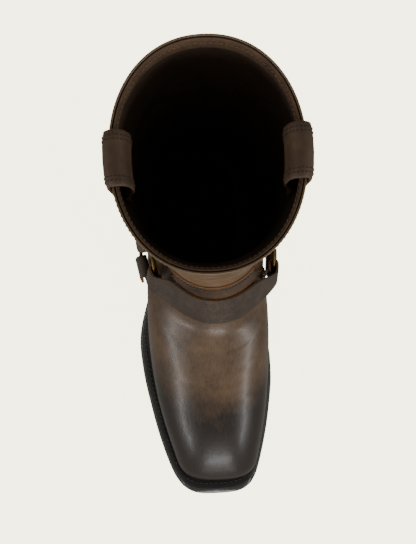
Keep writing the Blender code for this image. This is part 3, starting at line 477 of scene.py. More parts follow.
@dataclass(frozen=True)
class Leather:
    """Cowhide with patches, streaks along the foot, pores and a grain.

    Colours run from dark to light; a point's tone, which holds painted shade in folds and painted
    light on top as well as the burnish, moves it along them. The grain is drawn about three times
    as coarse as real pores, because finer ones would not show in the render.
    """

    name: str
    dark: str
    middle: str
    light: str
    rough: float = 0.46
    coat: float = 0.18
    grain_mm: float = 0.9
    patch_mm: float = 26.0
    grain_depth: float = 0.35
    use_tone: bool = True
    streak_mm: float = 5.5
    streak_squeeze: tuple[float, float, float] = (1.0, 3.2, 1.6)
    pore_mm: float = 3.2
    patch_share: float = 0.62
    tone_share: float = 0.9
    stops: tuple[float, float, float] = (0.22, 0.5, 0.78)
    rough_swing: tuple[float, float] = (-0.07, 0.09)
    relief_mm: float = 0.22
    coat_rough: float = 0.24
    ior: float = 1.5

    def material(self) -> bpy.types.Material:
        """Build the leather's nodes.

        Returns:
            The material.
        """
        made, shader = new_material(self.name, {
            "IOR": self.ior, "Coat Weight": self.coat, "Coat Roughness": self.coat_rough})
        tree = made.node_tree
        place = add_node(tree, "TexCoord").outputs["Object"]
        patch = add_node(tree, "TexNoise", {"Vector": place, "Scale": 1000 / self.patch_mm,
                                            "Detail": 5.0, "Roughness": 0.62})
        squeezed = add_node(tree, "Mapping", {"Vector": place, "Scale": self.streak_squeeze})
        streak = add_node(tree, "TexNoise", {"Vector": squeezed.outputs[0], "Detail": 6.0,
                                             "Scale": 1000 / self.streak_mm, "Roughness": 0.7})
        mixed = add_node(tree, "Math", {0: patch.outputs[0], 1: self.patch_share},
                         operation="MULTIPLY")
        level = add_node(tree, "Math", {0: streak.outputs[0], 1: 1 - self.patch_share,
                                        2: mixed.outputs[0]}, operation="MULTIPLY_ADD").outputs[0]
        if self.use_tone:
            # The tone holds painted shade in folds and painted light on top, as well as the dark
            # toe.
            tone = add_node(tree, "Attribute", attribute_name="tone")
            level = add_node(tree, "Math", {0: tone.outputs["Fac"], 1: self.tone_share, 2: level},
                             operation="MULTIPLY_ADD").outputs[0]
        ramp = add_node(tree, "ValToRGB", {"Fac": level})
        colours = ramp.color_ramp.elements
        colours[0].position, colours[0].color = self.stops[0], linear(self.dark)
        colours[1].position, colours[1].color = self.stops[2], linear(self.light)
        colours.new(self.stops[1]).color = linear(self.middle)
        tree.links.new(ramp.outputs["Color"], shader.inputs["Base Color"])
        grain = add_node(tree, "TexVoronoi", {"Vector": place, "Scale": 1000 / self.grain_mm},
                         feature="SMOOTH_F1")
        pores = add_node(tree, "TexNoise", {"Vector": place, "Scale": 1000 / self.pore_mm,
                                            "Detail": 4.0})
        relief = add_node(tree, "Math", {0: pores.outputs[0], 1: 0.9, 2: grain.outputs[0]},
                          operation="MULTIPLY_ADD")
        bump = add_node(tree, "Bump", {"Height": relief.outputs[0], "Strength": self.grain_depth,
                                       "Distance": self.relief_mm * MM})
        tree.links.new(bump.outputs[0], shader.inputs["Normal"])
        rough = add_node(tree, "MapRange", {"Value": streak.outputs[0], "From Min": 0.3,
                                            "From Max": 0.7,
                                            "To Min": self.rough + self.rough_swing[0],
                                            "To Max": self.rough + self.rough_swing[1]})
        tree.links.new(rough.outputs[0], shader.inputs["Roughness"])
        return made


@dataclass(frozen=True)
class Plain:
    """A finish of two near shades with a fine grain: thread, raw edge, rubber, ink or brass."""

    name: str
    colour: str
    shade: str
    rough: float = 0.6
    metallic: float = 0.0
    coat: float = 0.0
    grain_mm: float = 0.6
    grain_depth: float = 0.2
    layers_mm: float = 0.0
    patches_per_m: float = 120.0
    relief_mm: float = 0.2
    layer_share: float = 1.4
    coat_rough: float = 0.25

    def material(self) -> bpy.types.Material:
        """Build the finish's nodes.

        Returns:
            The material.
        """
        made, shader = new_material(self.name, {
            "Roughness": self.rough, "Metallic": self.metallic, "Coat Weight": self.coat,
            "Coat Roughness": self.coat_rough})
        tree = made.node_tree
        place = add_node(tree, "TexCoord").outputs["Object"]
        grain = add_node(tree, "TexNoise", {"Vector": place, "Scale": 1000 / self.grain_mm,
                                            "Detail": 3.0})
        patch = add_node(tree, "TexNoise", {"Vector": place, "Scale": self.patches_per_m,
                                            "Detail": 4.0})
        mix = add_node(tree, "Mix", {0: patch.outputs[0], 6: linear(self.shade),
                                     7: linear(self.colour)}, data_type="RGBA")
        tree.links.new(mix.outputs[2], shader.inputs["Base Color"])
        height = grain.outputs[0]
        if self.layers_mm:
            # The wave's crests and troughs are as high as one layer each.
            layers = add_node(tree, "TexWave", {"Vector": place, "Distortion": 0.4,
                                                "Scale": 1000 / self.layers_mm / 20 * math.pi},
                              bands_direction="Z")
            height = add_node(tree, "Math", {0: layers.outputs[1], 1: self.layer_share,
                                             2: height}, operation="MULTIPLY_ADD").outputs[0]
        bump = add_node(tree, "Bump", {"Height": height, "Distance": self.relief_mm * MM,
                                       "Strength": self.grain_depth})
        tree.links.new(bump.outputs[0], shader.inputs["Normal"])
        return made


@dataclass
class Finishes:
    """All finishes of the boot, each made once."""

    made: dict = field(default_factory=dict)

    def get(self, finish: Leather | Plain) -> bpy.types.Material:
        """The material of a finish, made on first use.

        Args:
            finish: The finish.

        Returns:
            Its material.
        """
        if finish.name not in self.made:
            self.made[finish.name] = finish.material()
        return self.made[finish.name]


# Vegetable-tanned cowhide, oiled and burnished by hand: brown, dark at the toe, under a soft uneven
# sheen; the body's tone adds painted shade in folds and painted light on its top and front.
BODY_LEATHER = Leather("burnished_cowhide", "1e140d", "4f3c2b", "735b43", 0.40, 0.20)
# Thick harness leather, stuffed with oil and left unpolished: dark, mottled, coarse and matt.
STRAP_LEATHER = Leather("oiled_harness_leather", "211b16", "3d3128", "564638", 0.5, 0.08,
                        grain_mm=1.5, patch_mm=8.0, grain_depth=1.0, use_tone=False)
# Thin leather folded over and stitched into a loop: an even brown without polish.
PULL_LEATHER = Leather("folded_pull_strap_leather", "382a1e", "4f3b2a", "644c37", 0.6, 0.0,
                       patch_mm=12.0, use_tone=False)
# Leather sanded on its grain side: light brown, velvety and quite matt.
FACING_LEATHER = Leather("nubuck_collar_leather", "3c2b1d", "57412e", "70563f", 0.75, 0.0,
                         grain_mm=0.7, patch_mm=9.0, grain_depth=0.6, use_tone=False)
# Leather dyed in a drum and not finished: dull brown.
# Its colours are darkened below the leather's own, as painted shade inside the boot.
LINING_PAINTED_SHADE = Leather("lining_leather_painted_shade", "22160d", "382719", "4a3423", 0.8, 0.0,
                         patch_mm=18.0, use_tone=False)
# Hide cut through with a knife and left undyed: tan, fibrous and matt.
RAW_EDGE = Plain("raw_cut_leather_edge", "a06c3e", "7a4e2a", 0.85, grain_mm=0.8)
# Twisted thread drawn through wax, in four dyes: small beads with a dull shine.
PALE_THREAD = Plain("waxed_beige_thread", "77614b", "58452f", 0.6)
THREAD = Plain("waxed_brown_thread", "5b4734", "3c2c1f", 0.6)
DARK_THREAD = Plain("dark_brown_thread", "2c2119", "1d1510", 0.6)
BLACK_THREAD = Plain("waxed_black_thread", "2b2826", "171513", 0.45)
# Thin leather glued to the insole: dull, and near black as painted shade deep in the boot.
FOOTBED_PAINTED_SHADE = Plain("sock_leather_painted_shade", "15110e", "0d0a08", 0.9)
# Ink brushed on the sole's leather and ironed hot: black with a hard shine.
# Its charcoal colour, lighter than the ink, is a painted sheen on the sole's rounded edge.
EDGE_BLACK_PAINTED_SHEEN = Plain("black_edge_dressing_painted_sheen", "343332", "242322", 0.32, coat=0.5, grain_mm=1.4)
# Welt leather dyed right through and brushed: a deep black with a rough, dull face.
WELT_BLACK = Plain("black_dyed_welt_leather", "0d0c0b", "060505", 0.6, grain_mm=0.9,
                   grain_depth=0.6)
# Lifts of sole leather glued, sanded and inked: black with faint level lines.
HEEL_BLACK = Plain("dressed_stacked_leather", "1b1714", "0d0b0a", 0.38, coat=0.3,
                   grain_mm=1.0, grain_depth=0.5, layers_mm=5.0)
# Rubber pressed in a mould: matt, with a fine even tooth.
CAP_RUBBER = Plain("moulded_black_rubber", "141414", "0c0c0c", 0.75, grain_mm=0.8)
# Bent brass wire that has aged in use: satin, yellow where it is rubbed and brown elsewhere.
BRASS = Plain("aged_brass", "8a7346", "4c3b22", 0.38, metallic=1.0, grain_mm=1.5)
FINISHES = Finishes()


def place_object(name: str, data: bpy.types.ID) -> bpy.types.Object:
    """Make an object and put it in the scene.

    Args:
        name: Object name.
        data: Its mesh, camera or light.

    Returns:
        The new object.
    """
    item = bpy.data.objects.new(name, data)
    bpy.context.scene.collection.objects.link(item)
    return item


def smooth(mesh: bpy.types.Mesh) -> None:
    """Shade all faces of a mesh smooth."""
    mesh.polygons.foreach_set("use_smooth", np.ones(len(mesh.polygons), bool))


def add_piece(name: str, points: np.ndarray, faces: list, finish: Leather | Plain,
              replaces: Sequence[str] = (), edge: tuple | None = None,
              tone: np.ndarray | None = None) -> bpy.types.Object:
    """Make a piece of mesh, dress it and let it ride on the boot.

    Args:
        name: Piece name.
        points: Points in the sole's own frame.
        faces: Faces as tuples of point numbers.
        finish: Main finish.
        replaces: CAD nodes that the piece stands for.
        edge: A second finish and the number of the first face that has it.
        tone: Shade of each point, added to the leather's pattern.

    Returns:
        The new object.
    """
    mesh = bpy.data.meshes.new(name)
    mesh.from_pydata([tuple(p) for p in np.asarray(points) + np.array(LAST.shift)], [], faces)
    mesh.materials.append(FINISHES.get(finish))
    if edge:
        mesh.materials.append(FINISHES.get(edge[0]))
        indices = np.zeros(len(mesh.polygons), np.int32)
        indices[edge[1]:] = 1
        mesh.polygons.foreach_set("material_index", indices)
    if tone is not None:
        layer = mesh.attributes.new("tone", "FLOAT", "POINT")
        layer.data.foreach_set("value", np.asarray(tone, np.float32).ravel())
    smooth(mesh)
    mesh.validate()
    mesh.update()
    return mount(place_object(name, mesh), replaces)


def mount(item: bpy.types.Object, replaces: Sequence[str] = ()) -> bpy.types.Object:
    """Let a piece ride on the boot and hide the CAD nodes that it replaces.

    Args:
        item: The piece.
        replaces: CAD nodes that the piece stands for.

    Returns:
        The piece.
    """
    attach(item, "root")
    if replaces:
        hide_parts(*replaces)
    LOG.info("piece %s: %d faces", item.name, len(item.data.polygons))
    return item


def grid_faces(rows: int, columns: int, start: int = 0, flip: bool = False) -> list:
    """Quads between the points of a grid.

    Args:
        rows: Rows of points.
        columns: Points in a row.
        start: Number of the grid's first point.
        flip: Whether the quads face the other way.

    Returns:
        Faces as tuples of point numbers.
    """
    i, j = np.meshgrid(np.arange(rows - 1), np.arange(columns - 1), indexing="ij")
    a = (start + i * columns + j).ravel()
    quads = np.stack([a, a + columns, a + columns + 1, a + 1], axis=1)
    return [tuple(q) for q in (quads[:, ::-1] if flip else quads).tolist()]


def border(rows: int, columns: int) -> list[int]:
    """Numbers of a grid's border points in order round it.

    Args:
        rows: Rows of points.
        columns: Points in a row.

    Returns:
        Point numbers, each once.
    """
    top = list(range(columns))
    right = [i * columns + columns - 1 for i in range(1, rows - 1)]
    bottom = [(rows - 1) * columns + j for j in range(columns)]
    left = [i * columns for i in range(rows - 2, 0, -1)]
    return top + right + bottom[::-1] + left


def close_seam(grids: Sequence[np.ndarray], rows: np.ndarray | slice) -> None:
    """Bring the two ends of a grid's rows together, where the sheet is a closed loop.

    Args:
        grids: Grids of points, which are changed.
        rows: The rows that are closed loops.
    """
    for grid in grids:
        grid[rows, 0] = grid[rows, -1] = (grid[rows, 0] + grid[rows, -1]) / 2


def leather_sheet(name: str, outer: np.ndarray, inner: np.ndarray, finish: Leather,
                  raw: Plain | None = None, replaces: Sequence[str] = (),
                  tone: np.ndarray | None = None, bulge: float = 0.25,
                  seam: int = 0) -> bpy.types.Object:
    """A closed sheet between two grids with a softly rounded cut edge.

    Args:
        name: Piece name.
        outer: Outer grid of points.
        inner: Inner grid of points.
        finish: The sheet's finish.
        raw: Finish of the cut edge, or None for the sheet's own.
        replaces: CAD nodes that the piece stands for.
        tone: Shade of each grid point.
        bulge: How far the cut edge is rounded, as a share of the thickness.
        seam: Rows from the first that are closed loops and have no cut edge at their ends.

    Returns:
        The new object.
    """
    rows, columns = outer.shape[:2]
    size = rows * columns
    points = [outer.reshape(-1, 3), inner.reshape(-1, 3)]
    faces = grid_faces(rows, columns) + grid_faces(rows, columns, size, True)
    edge_start = len(faces)
    loop = border(rows, columns)
    flat_outer, flat_inner = points
    thickness = np.linalg.norm(flat_outer - flat_inner, axis=1, keepdims=True)
    # Directions in which the cut edge faces, seen in the sheet.
    away = np.zeros((size, 3))
    edge_out = away.reshape(rows, columns, 3)
    edge_out[0] += unit(outer[0] - outer[1])
    edge_out[-1] += unit(outer[-1] - outer[-2])
    edge_out[seam:, 0] += unit(outer[seam:, 0] - outer[seam:, 1])
    edge_out[seam:, -1] += unit(outer[seam:, -1] - outer[seam:, -2])
    middle = (flat_outer + flat_inner) / 2 + away * thickness * bulge
    numbers = {k: 2 * size + n for n, k in enumerate(loop)}
    points.append(middle[loop])
    for here, after in zip(loop, loop[1:] + loop[:1]):
        row_a, row_b = here // columns, after // columns
        col_a, col_b = here % columns, after % columns
        if seam and col_a == col_b and col_a in (0, columns - 1) and max(row_a, row_b) < seam:
            continue
        faces.append((here, after, numbers[after], numbers[here]))
        faces.append((numbers[here], numbers[after], size + after, size + here))
    all_points = np.concatenate(points)
    shades = None
    if tone is not None:
        flat = np.asarray(tone).ravel()
        shades = np.concatenate([flat, flat, flat[loop]])
    edge = (raw, edge_start) if raw else None
    item = add_piece(name, all_points, faces, finish, replaces, edge, shades)
    tidy = bmesh.new()
    tidy.from_mesh(item.data)
    bmesh.ops.remove_doubles(tidy, verts=tidy.verts, dist=SHEET_WELD)
    bmesh.ops.recalc_face_normals(tidy, faces=tidy.faces)
    tidy.to_mesh(item.data)
    tidy.free()
    return item


def iron_out(work: bmesh.types.BMesh, rounds: int) -> None:
    """Take the ripples out of a strap, along lines of edges that are nearly straight.

    Args:
        work: The strap's mesh.
        rounds: How often the points are moved halfway to the middle of their neighbours.
    """
    for _ in range(rounds):
        moved = []
        for vert in work.verts:
            ends = [edge.other_vert(vert).co for edge in vert.link_edges]
            ways = [(end - vert.co).normalized() for end in ends]
            middles = [(ends[i] + ends[j]) / 2 for i in range(len(ends)) for j in range(i)
                       if ways[i].dot(ways[j]) < STRAIGHT_ON]
            if middles:
                target = sum(middles, Vector()) / len(middles)
                moved.append((vert, vert.co.lerp(target, 0.5)))
        for vert, place in moved:
            vert.co = place


def soft_copy(node: str, name: str, finish: Leather | Plain, bevel_mm: float,
              levels: int = 2, raw: Plain | None = None, raw_mm: float = 0.0) -> bpy.types.Object:
    """A finer, softly rounded stand-in for a CAD node of plain facets.

    Args:
        node: CAD node to stand for.
        name: Piece name.
        finish: Main finish.
        bevel_mm: Rounding of the sharp edges.
        levels: Subdivision levels.
        raw: Finish of the narrow cut faces.
        raw_mm: Width of the narrow cut faces.

    Returns:
        The new object.
    """
    work = bmesh.new()
    work.from_mesh(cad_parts[node].data)
    bmesh.ops.remove_doubles(work, verts=work.verts, dist=CAD_WELD)
    bmesh.ops.join_triangles(work, faces=work.faces, angle_face_threshold=0.5,
                             angle_shape_threshold=0.6)
    bmesh.ops.recalc_face_normals(work, faces=work.faces)
    sharp = [e for e in work.edges if e.is_manifold and e.calc_face_angle(0) > SHARP_BEND]
    if raw:
        iron_out(work, 3)
        corners = set(sharp)
        for face in work.faces:
            cut = max((e.calc_length() for e in face.edges if e in corners), default=0.0)
            area = face.calc_area() * (2 if len(face.verts) == 3 else 1)
            face.material_index = int(area < cut * raw_mm * MM * EDGE_SLACK)
    bmesh.ops.bevel(work, geom=sharp, offset=bevel_mm * MM, segments=2, profile=0.5,
                    affect="EDGES", clamp_overlap=True)
    mesh = bpy.data.meshes.new(name)
    work.to_mesh(mesh)
    work.free()
    mesh.materials.append(FINISHES.get(finish))
    if raw:
        mesh.materials.append(FINISHES.get(raw))
    item = place_object(name, mesh)
    subdivide = item.modifiers.new("soft", "SUBSURF")
    subdivide.levels = subdivide.render_levels = levels
    graph = bpy.context.evaluated_depsgraph_get()
    fine = bpy.data.meshes.new_from_object(item.evaluated_get(graph))
    item.modifiers.clear()
    item.data = fine
    smooth(fine)
    return mount(item, [node])


@dataclass(frozen=True)
class Thread:
    """Rows of lock stitches: short thread beads that dip into the leather at their ends."""

    pitch: float = 3.2 * MM
    share: float = 0.74
    radius: float = 0.42 * MM
    sink: float = 0.12 * MM
    finish: Plain = THREAD
    slot: str = "strap_leather"
    ring: int = 6
    rings: int = 5
    tip: float = 0.45
    arch: float = 0.7

    def sew(self, name: str, paths: Sequence[tuple[np.ndarray, np.ndarray]]) -> bpy.types.Object:
        """Make the stitches of one or more rows as one piece.

        Args:
            name: Piece name.
            paths: For each row its points and the ways out of the leather there.

        Returns:
            The new object.
        """
        points, faces = [], []
        turn = np.linspace(0, 2 * np.pi, self.ring, endpoint=False)
        for path, ways in paths:
            length = run_length(path)
            count = max(int(length[-1] / self.pitch), 1)
            for k in range(count):
                middle = (k + 0.5) * length[-1] / count
                reach = np.linspace(-0.5, 0.5, self.rings) * self.pitch * self.share
                centres = np.stack([np.interp(middle + reach, length, path[:, i])
                                    for i in range(3)], 1)
                way = unit(np.array([np.interp(middle, length, ways[:, i]) for i in range(3)]))
                along = unit(centres[-1] - centres[0])
                side = unit(np.cross(along, way))
                bow = 1 - (reach / (self.pitch * self.share * 0.5)) ** 2
                start = len(points)
                for centre, height in zip(centres, bow):
                    size = self.radius * (self.tip + (1 - self.tip) * height)
                    lift = centre + way * (self.radius * self.arch * height - self.sink)
                    points += [lift + side * size * math.cos(t) + way * size * math.sin(t)
                               for t in turn]
                rounds = start + np.arange(self.rings * self.ring).reshape(self.rings, self.ring)
                after = np.roll(rounds, -1, axis=1)
                quads = np.stack([rounds[:-1], after[:-1], after[1:], rounds[1:]], axis=-1)
                faces += [tuple(q) for q in quads.reshape(-1, 4).tolist()]
                faces += [tuple(rounds[0, ::-1].tolist()), tuple(rounds[-1].tolist())]
        return add_piece(name, np.array(points), faces, self.finish)


# Thin thread on the front and heel pieces and the pull straps, thick thread at collar and welt.
OVERLAY_THREAD = Thread(pitch=2.8 * MM, radius=0.38 * MM)
PULL_THREAD = Thread(pitch=2.6 * MM, radius=0.36 * MM, finish=DARK_THREAD)
COLLAR_THREAD = Thread(radius=0.55 * MM, finish=PALE_THREAD)
WELT_THREAD = Thread(pitch=4.2 * MM, radius=0.55 * MM, finish=BLACK_THREAD, slot="sole_black")


@dataclass(frozen=True)
class Crease:
    """One crease of the leather: where it runs, how long, wide and deep it is."""

    section: float
    around: float
    slant: float
    length: float
    width: float
    depth: float

    def depth_at(self, sections: np.ndarray, arounds: np.ndarray) -> np.ndarray:
        """Depth of the crease, with a low crest on both sides.

        Args:
            sections: Section numbers as a grid.
            arounds: Ways round as a grid.

        Returns:
            Depths in metres.
        """
        across = sections - self.section - self.slant * (arounds - self.around)
        along = (arounds - self.around) / self.length
        fold = np.exp(-(across / self.width) ** 2) - 0.45 * np.exp(-(across / self.width / 2) ** 2)
        return self.depth * fold * np.exp(-along ** 4)


CREASES = [
    Crease(2.05, 0.02, 0.10, 0.42, 0.11, 0.9 * MM),
    Crease(1.74, -0.10, -0.16, 0.36, 0.10, 0.7 * MM),
    Crease(1.45, 0.16, 0.14, 0.40, 0.09, 0.55 * MM),
    Crease(1.12, -0.20, 0.10, 0.30, 0.09, 0.45 * MM),
    Crease(1.62, 0.86, -0.30, 0.22, 0.10, 0.6 * MM),
    Crease(1.86, -0.84, 0.34, 0.22, 0.11, 0.7 * MM),
    Crease(2.40, 0.80, -0.40, 0.20, 0.10, 0.5 * MM),
    Crease(2.48, -0.78, 0.40, 0.20, 0.10, 0.5 * MM),
    Crease(7.15, 0.10, 0.30, 0.30, 0.13, 0.14 * MM),
    Crease(7.70, -0.12, -0.35, 0.30, 0.12, 0.22 * MM),
    Crease(8.30, 0.22, 0.25, 0.26, 0.12, 0.16 * MM),
]


def relief(sections: np.ndarray, arounds: np.ndarray) -> np.ndarray:
    """Depth of all creases and of the shaft's slow unevenness on a grid.

    Args:
        sections: Section numbers as a grid.
        arounds: Ways round as a grid.

    Returns:
        Depth below the last's surface in metres.
    """
    crest, unevenness, shaft_end = 0.1 * MM, 0.16 * MM, 6.5
    depth = sum(crease.depth_at(sections, arounds) for crease in CREASES)
    slow = np.sin(sections * 2.3 + 4.1 * arounds) * np.sin(arounds * 7.0 - sections)
    return np.maximum(depth, -crest) + unevenness * (1 + slow) * (sections < shaft_end)


def shade(sections: np.ndarray, arounds: np.ndarray) -> np.ndarray:
    """Tone: dark toe and foot, lighter rim, painted shade in folds, painted light in front and on
    top.

    Args:
        sections: Section numbers as a grid.
        arounds: Ways round as a grid.

    Returns:
        A tone added to the leather's pattern, 0 for no change.
    """
    toe = 0.6 * rise(7.5, 9.3, sections) + 0.4 * rise(9.2, 11.0, sections)
    low = rise(0.62, 1.0, np.abs(arounds)) * rise(3.6, 5.0, sections)
    # Painted light: the front of the shaft is made lighter.
    shaft = rise(3.2, 1.6, sections) * rise(1.2, 0.1, np.abs(arounds))
    collar = rise(0.30, 0.0, sections)
    # Painted shade: the leather is made darker where it is creased.
    fold = relief(sections, arounds) / MM
    # Painted light along the top of the vamp.
    ridge = rise(0.75, 0.0, np.abs(arounds)) * rise(4.2, 6.5, sections)
    # Sum of the painted light on shaft and vamp and the lighter band at the rim.
    painted_light_and_rim = 0.02 + 0.14 * ridge + 0.30 * shaft + 0.30 * collar
    return painted_light_and_rim - 0.85 * toe - 0.30 * low - 0.10 * fold


@dataclass
class Upper:
    """The hollow body and shaft with its lining."""

    wall: float = 2.2 * MM
    outer_layer: float = 1.25 * MM
    rows: int = 210
    columns: int = 161
    seam_section: float = 4.0
    lining_rows: int = 110
    lining_columns: int = 101
    lining_first: float = 0.012
    facing: float = 1.0 * MM
    facing_end: float = 0.085
    facing_round: float = 0.012
    facing_rows: int = 26
    seam_place: float = 0.028

    def sheet(self, sections: np.ndarray, arounds: np.ndarray, top: float,
              bottom: float) -> tuple[np.ndarray, np.ndarray, np.ndarray]:
        """Two grids at two depths under the last's surface.

        Args:
            sections: Section numbers.
            arounds: Ways round.
            top: Depth of the first grid.
            bottom: Depth of the second grid.

        Returns:
            The two grids and the leather's tone.
        """
        points, ways = LAST.grid(sections, arounds)
        s, a = np.meshgrid(sections, arounds, indexing="ij")
        fade = rise(0.0, 0.25, s)
        sunk = relief(s, a) * fade
        over = LAST.over_welt(points - ways * (top + sunk)[..., None])
        under = LAST.over_welt(points - ways * (bottom + sunk)[..., None])
        close_seam((over, under), sections <= self.seam_section)
        return over, under, shade(s, a)

    def sections(self, rows: int, first: float) -> np.ndarray:
        """Section numbers from the collar to the toe, crowded where the heel turns.

        Args:
            rows: Even rows, to which those at the heel are added.
            first: First section number.

        Returns:
            Section numbers in order.
        """
        spread = np.linspace(first, len(SECTIONS) - 1, rows)
        heel = self.seam_section + np.linspace(0, 1, 18)[1:-1] ** 2
        return np.unique(np.concatenate([spread, [self.seam_section], heel]))

    def lay(self, name: str, sections: np.ndarray, columns: int, depths: tuple[float, float],
            finish: Leather, replaces: Sequence[str] = ()) -> None:
        """Lay one layer of the wall.

        Args:
            name: Piece name.
            sections: Section numbers.
            columns: Points in a row.
            depths: Depths of the layer's two faces under the last's surface.
            finish: The layer's finish.
            replaces: CAD nodes that the layer stands for.
        """
        outer, inner, tone = self.sheet(sections, np.linspace(-1, 1, columns), *depths)
        leather_sheet(name, outer, inner, finish, replaces=replaces,
                      tone=tone if finish.use_tone else None,
                      seam=int((sections <= self.seam_section).sum()))

    def build(self) -> None:
        """Make the leather, the lining under it, the collar's facing and its stitches."""
        self.lay("upper_leather", self.sections(self.rows, 0.0), self.columns,
                 (0.0, self.outer_layer), BODY_LEATHER, ["upper"])
        self.lay("shaft_lining", self.sections(self.lining_rows, self.lining_first),
                 self.lining_columns, (self.outer_layer + 0.02 * MM, self.wall),
                 LINING_PAINTED_SHADE)
        self.face_collar()
        self.sew()

    def face_collar(self) -> None:
        """Lay the soft facing inside the rim, a strip with a rounded lower edge."""
        sections = np.linspace(0.0005, self.facing_end, self.facing_rows)
        points, ways = LAST.grid(sections, np.linspace(-1, 1, self.columns))
        lower = 0.35 + 0.65 * rise(self.facing_end, self.facing_end - self.facing_round, sections)
        upper = 0.55 + 0.45 * rise(0.0, 0.008, sections)
        outer = points - ways * (self.wall - CLEARANCE)
        inner = points - ways * (self.wall + self.facing * lower * upper)[:, None, None]
        close_seam((outer, inner), slice(None))
        leather_sheet("collar_facing", outer, inner, FACING_LEATHER,
                      seam=len(sections), bulge=0.3)

    def sew(self) -> None:
        """Sew the collar's facing through to the outside."""
        points, ways = LAST.grid(np.array([self.seam_place]), np.linspace(-1, 1, 241))
        inside = (points[0] - ways[0] * (self.wall + self.facing), -ways[0])
        outside = (points[0], ways[0])
        COLLAR_THREAD.sew("collar_stitches", [inside, outside])


@dataclass
class Vamp:
    """The front piece with its tongue, laid over the upper."""

    thickness: float = 2.0 * MM
    skived: float = 1.3 * MM
    skive_width: float = 5.0 * MM
    rows: int = 170
    columns: int = 131
    top: float = VAMP_EDGES[0][0]
    foot: float = VAMP_EDGES[-1][0]
    section_length: float = 20 * MM
    top_seam: float = 0.14
    seam_end: float = 6.72
    seam_insets: tuple[float, float] = (2.6 * MM, 5.0 * MM)

    def reach(self, sections: np.ndarray) -> np.ndarray:
        """Share of the way round that the vamp covers at each section."""
        return np.where(sections < self.foot, read_table(VAMP_EDGES, 1, sections), 1.0)

    def surface(self, sections: np.ndarray, shares: np.ndarray) -> tuple[np.ndarray, ...]:
        """The surface under the vamp and the vamp's thickness there, thinner along its edges.

        Args:
            sections: Section numbers.
            shares: Shares of the way to the vamp's edge, from -1 to 1.

        Returns:
            Points of the body, ways out, section grid, around grid and thickness.
        """
        arounds = self.reach(sections)[:, None] * shares[None, :]
        points, ways = LAST.grid(sections, arounds)
        s = np.broadcast_to(sections[:, None], arounds.shape)
        lengths = np.array([[LAST.half_length(x, side) for side in Side] for x in sections])
        half = np.where(arounds < 0, lengths[:, :1], lengths[:, 1:])
        side_room = (self.reach(sections)[:, None] - np.abs(arounds)) * half
        side_room = np.where(s < self.foot, side_room, 1.0)
        room = np.minimum(side_room, (s - self.top) * self.section_length)
        full = rise(0, self.skive_width, room)
        return points, ways, s, arounds, self.skived + (self.thickness - self.skived) * full

    def build(self) -> None:
        """Make the vamp and its seams."""
        spread = np.linspace(self.top, len(SECTIONS) - 1, self.rows)
        sections = np.unique(np.append(spread, [self.top + d for d in (0.01, 0.02, 0.04)]))
        shares = np.linspace(-1, 1, self.columns)
        points, ways, s, a, thick = self.surface(sections, shares)
        sunk = relief(s, a)
        outer = LAST.over_welt(points + ways * (thick - sunk)[..., None])
        inner = LAST.over_welt(points + ways * (CLEARANCE - sunk)[..., None])
        tongue = rise(2.95, 2.5, s)
        leather_sheet("vamp_leather", outer, inner, BODY_LEATHER, RAW_EDGE,
                      ["vamp"], shade(s, a) - 0.28 * tongue, 0.1)
        self.sew()

    def sew(self) -> None:
        """Sew one row along the tongue's top and two down each side."""
        top = np.array([self.top + self.top_seam])
        points, ways, _, _, thick = self.surface(top, np.linspace(-0.86, 0.86, 81))
        rows = [(points[0] + ways[0] * thick[0][:, None], ways[0])]
        for side in Side:
            for inset in self.seam_insets:
                sections = np.linspace(self.top + self.top_seam, self.seam_end, 120)
                half = np.array([LAST.half_length(x, side) for x in sections])
                share = side.value * (1 - inset / (half * self.reach(sections)))
                path, out = [], []
                for section, place in zip(sections, share):
                    point, way, _, _, thick = self.surface(np.array([section]),
                                                           np.array([place, place]))
                    path.append(point[0, 0] + way[0, 0] * thick[0, 0])
                    out.append(way[0, 0])
                rows.append((np.array(path), np.array(out)))
        OVERLAY_THREAD.sew("vamp_stitches", rows)


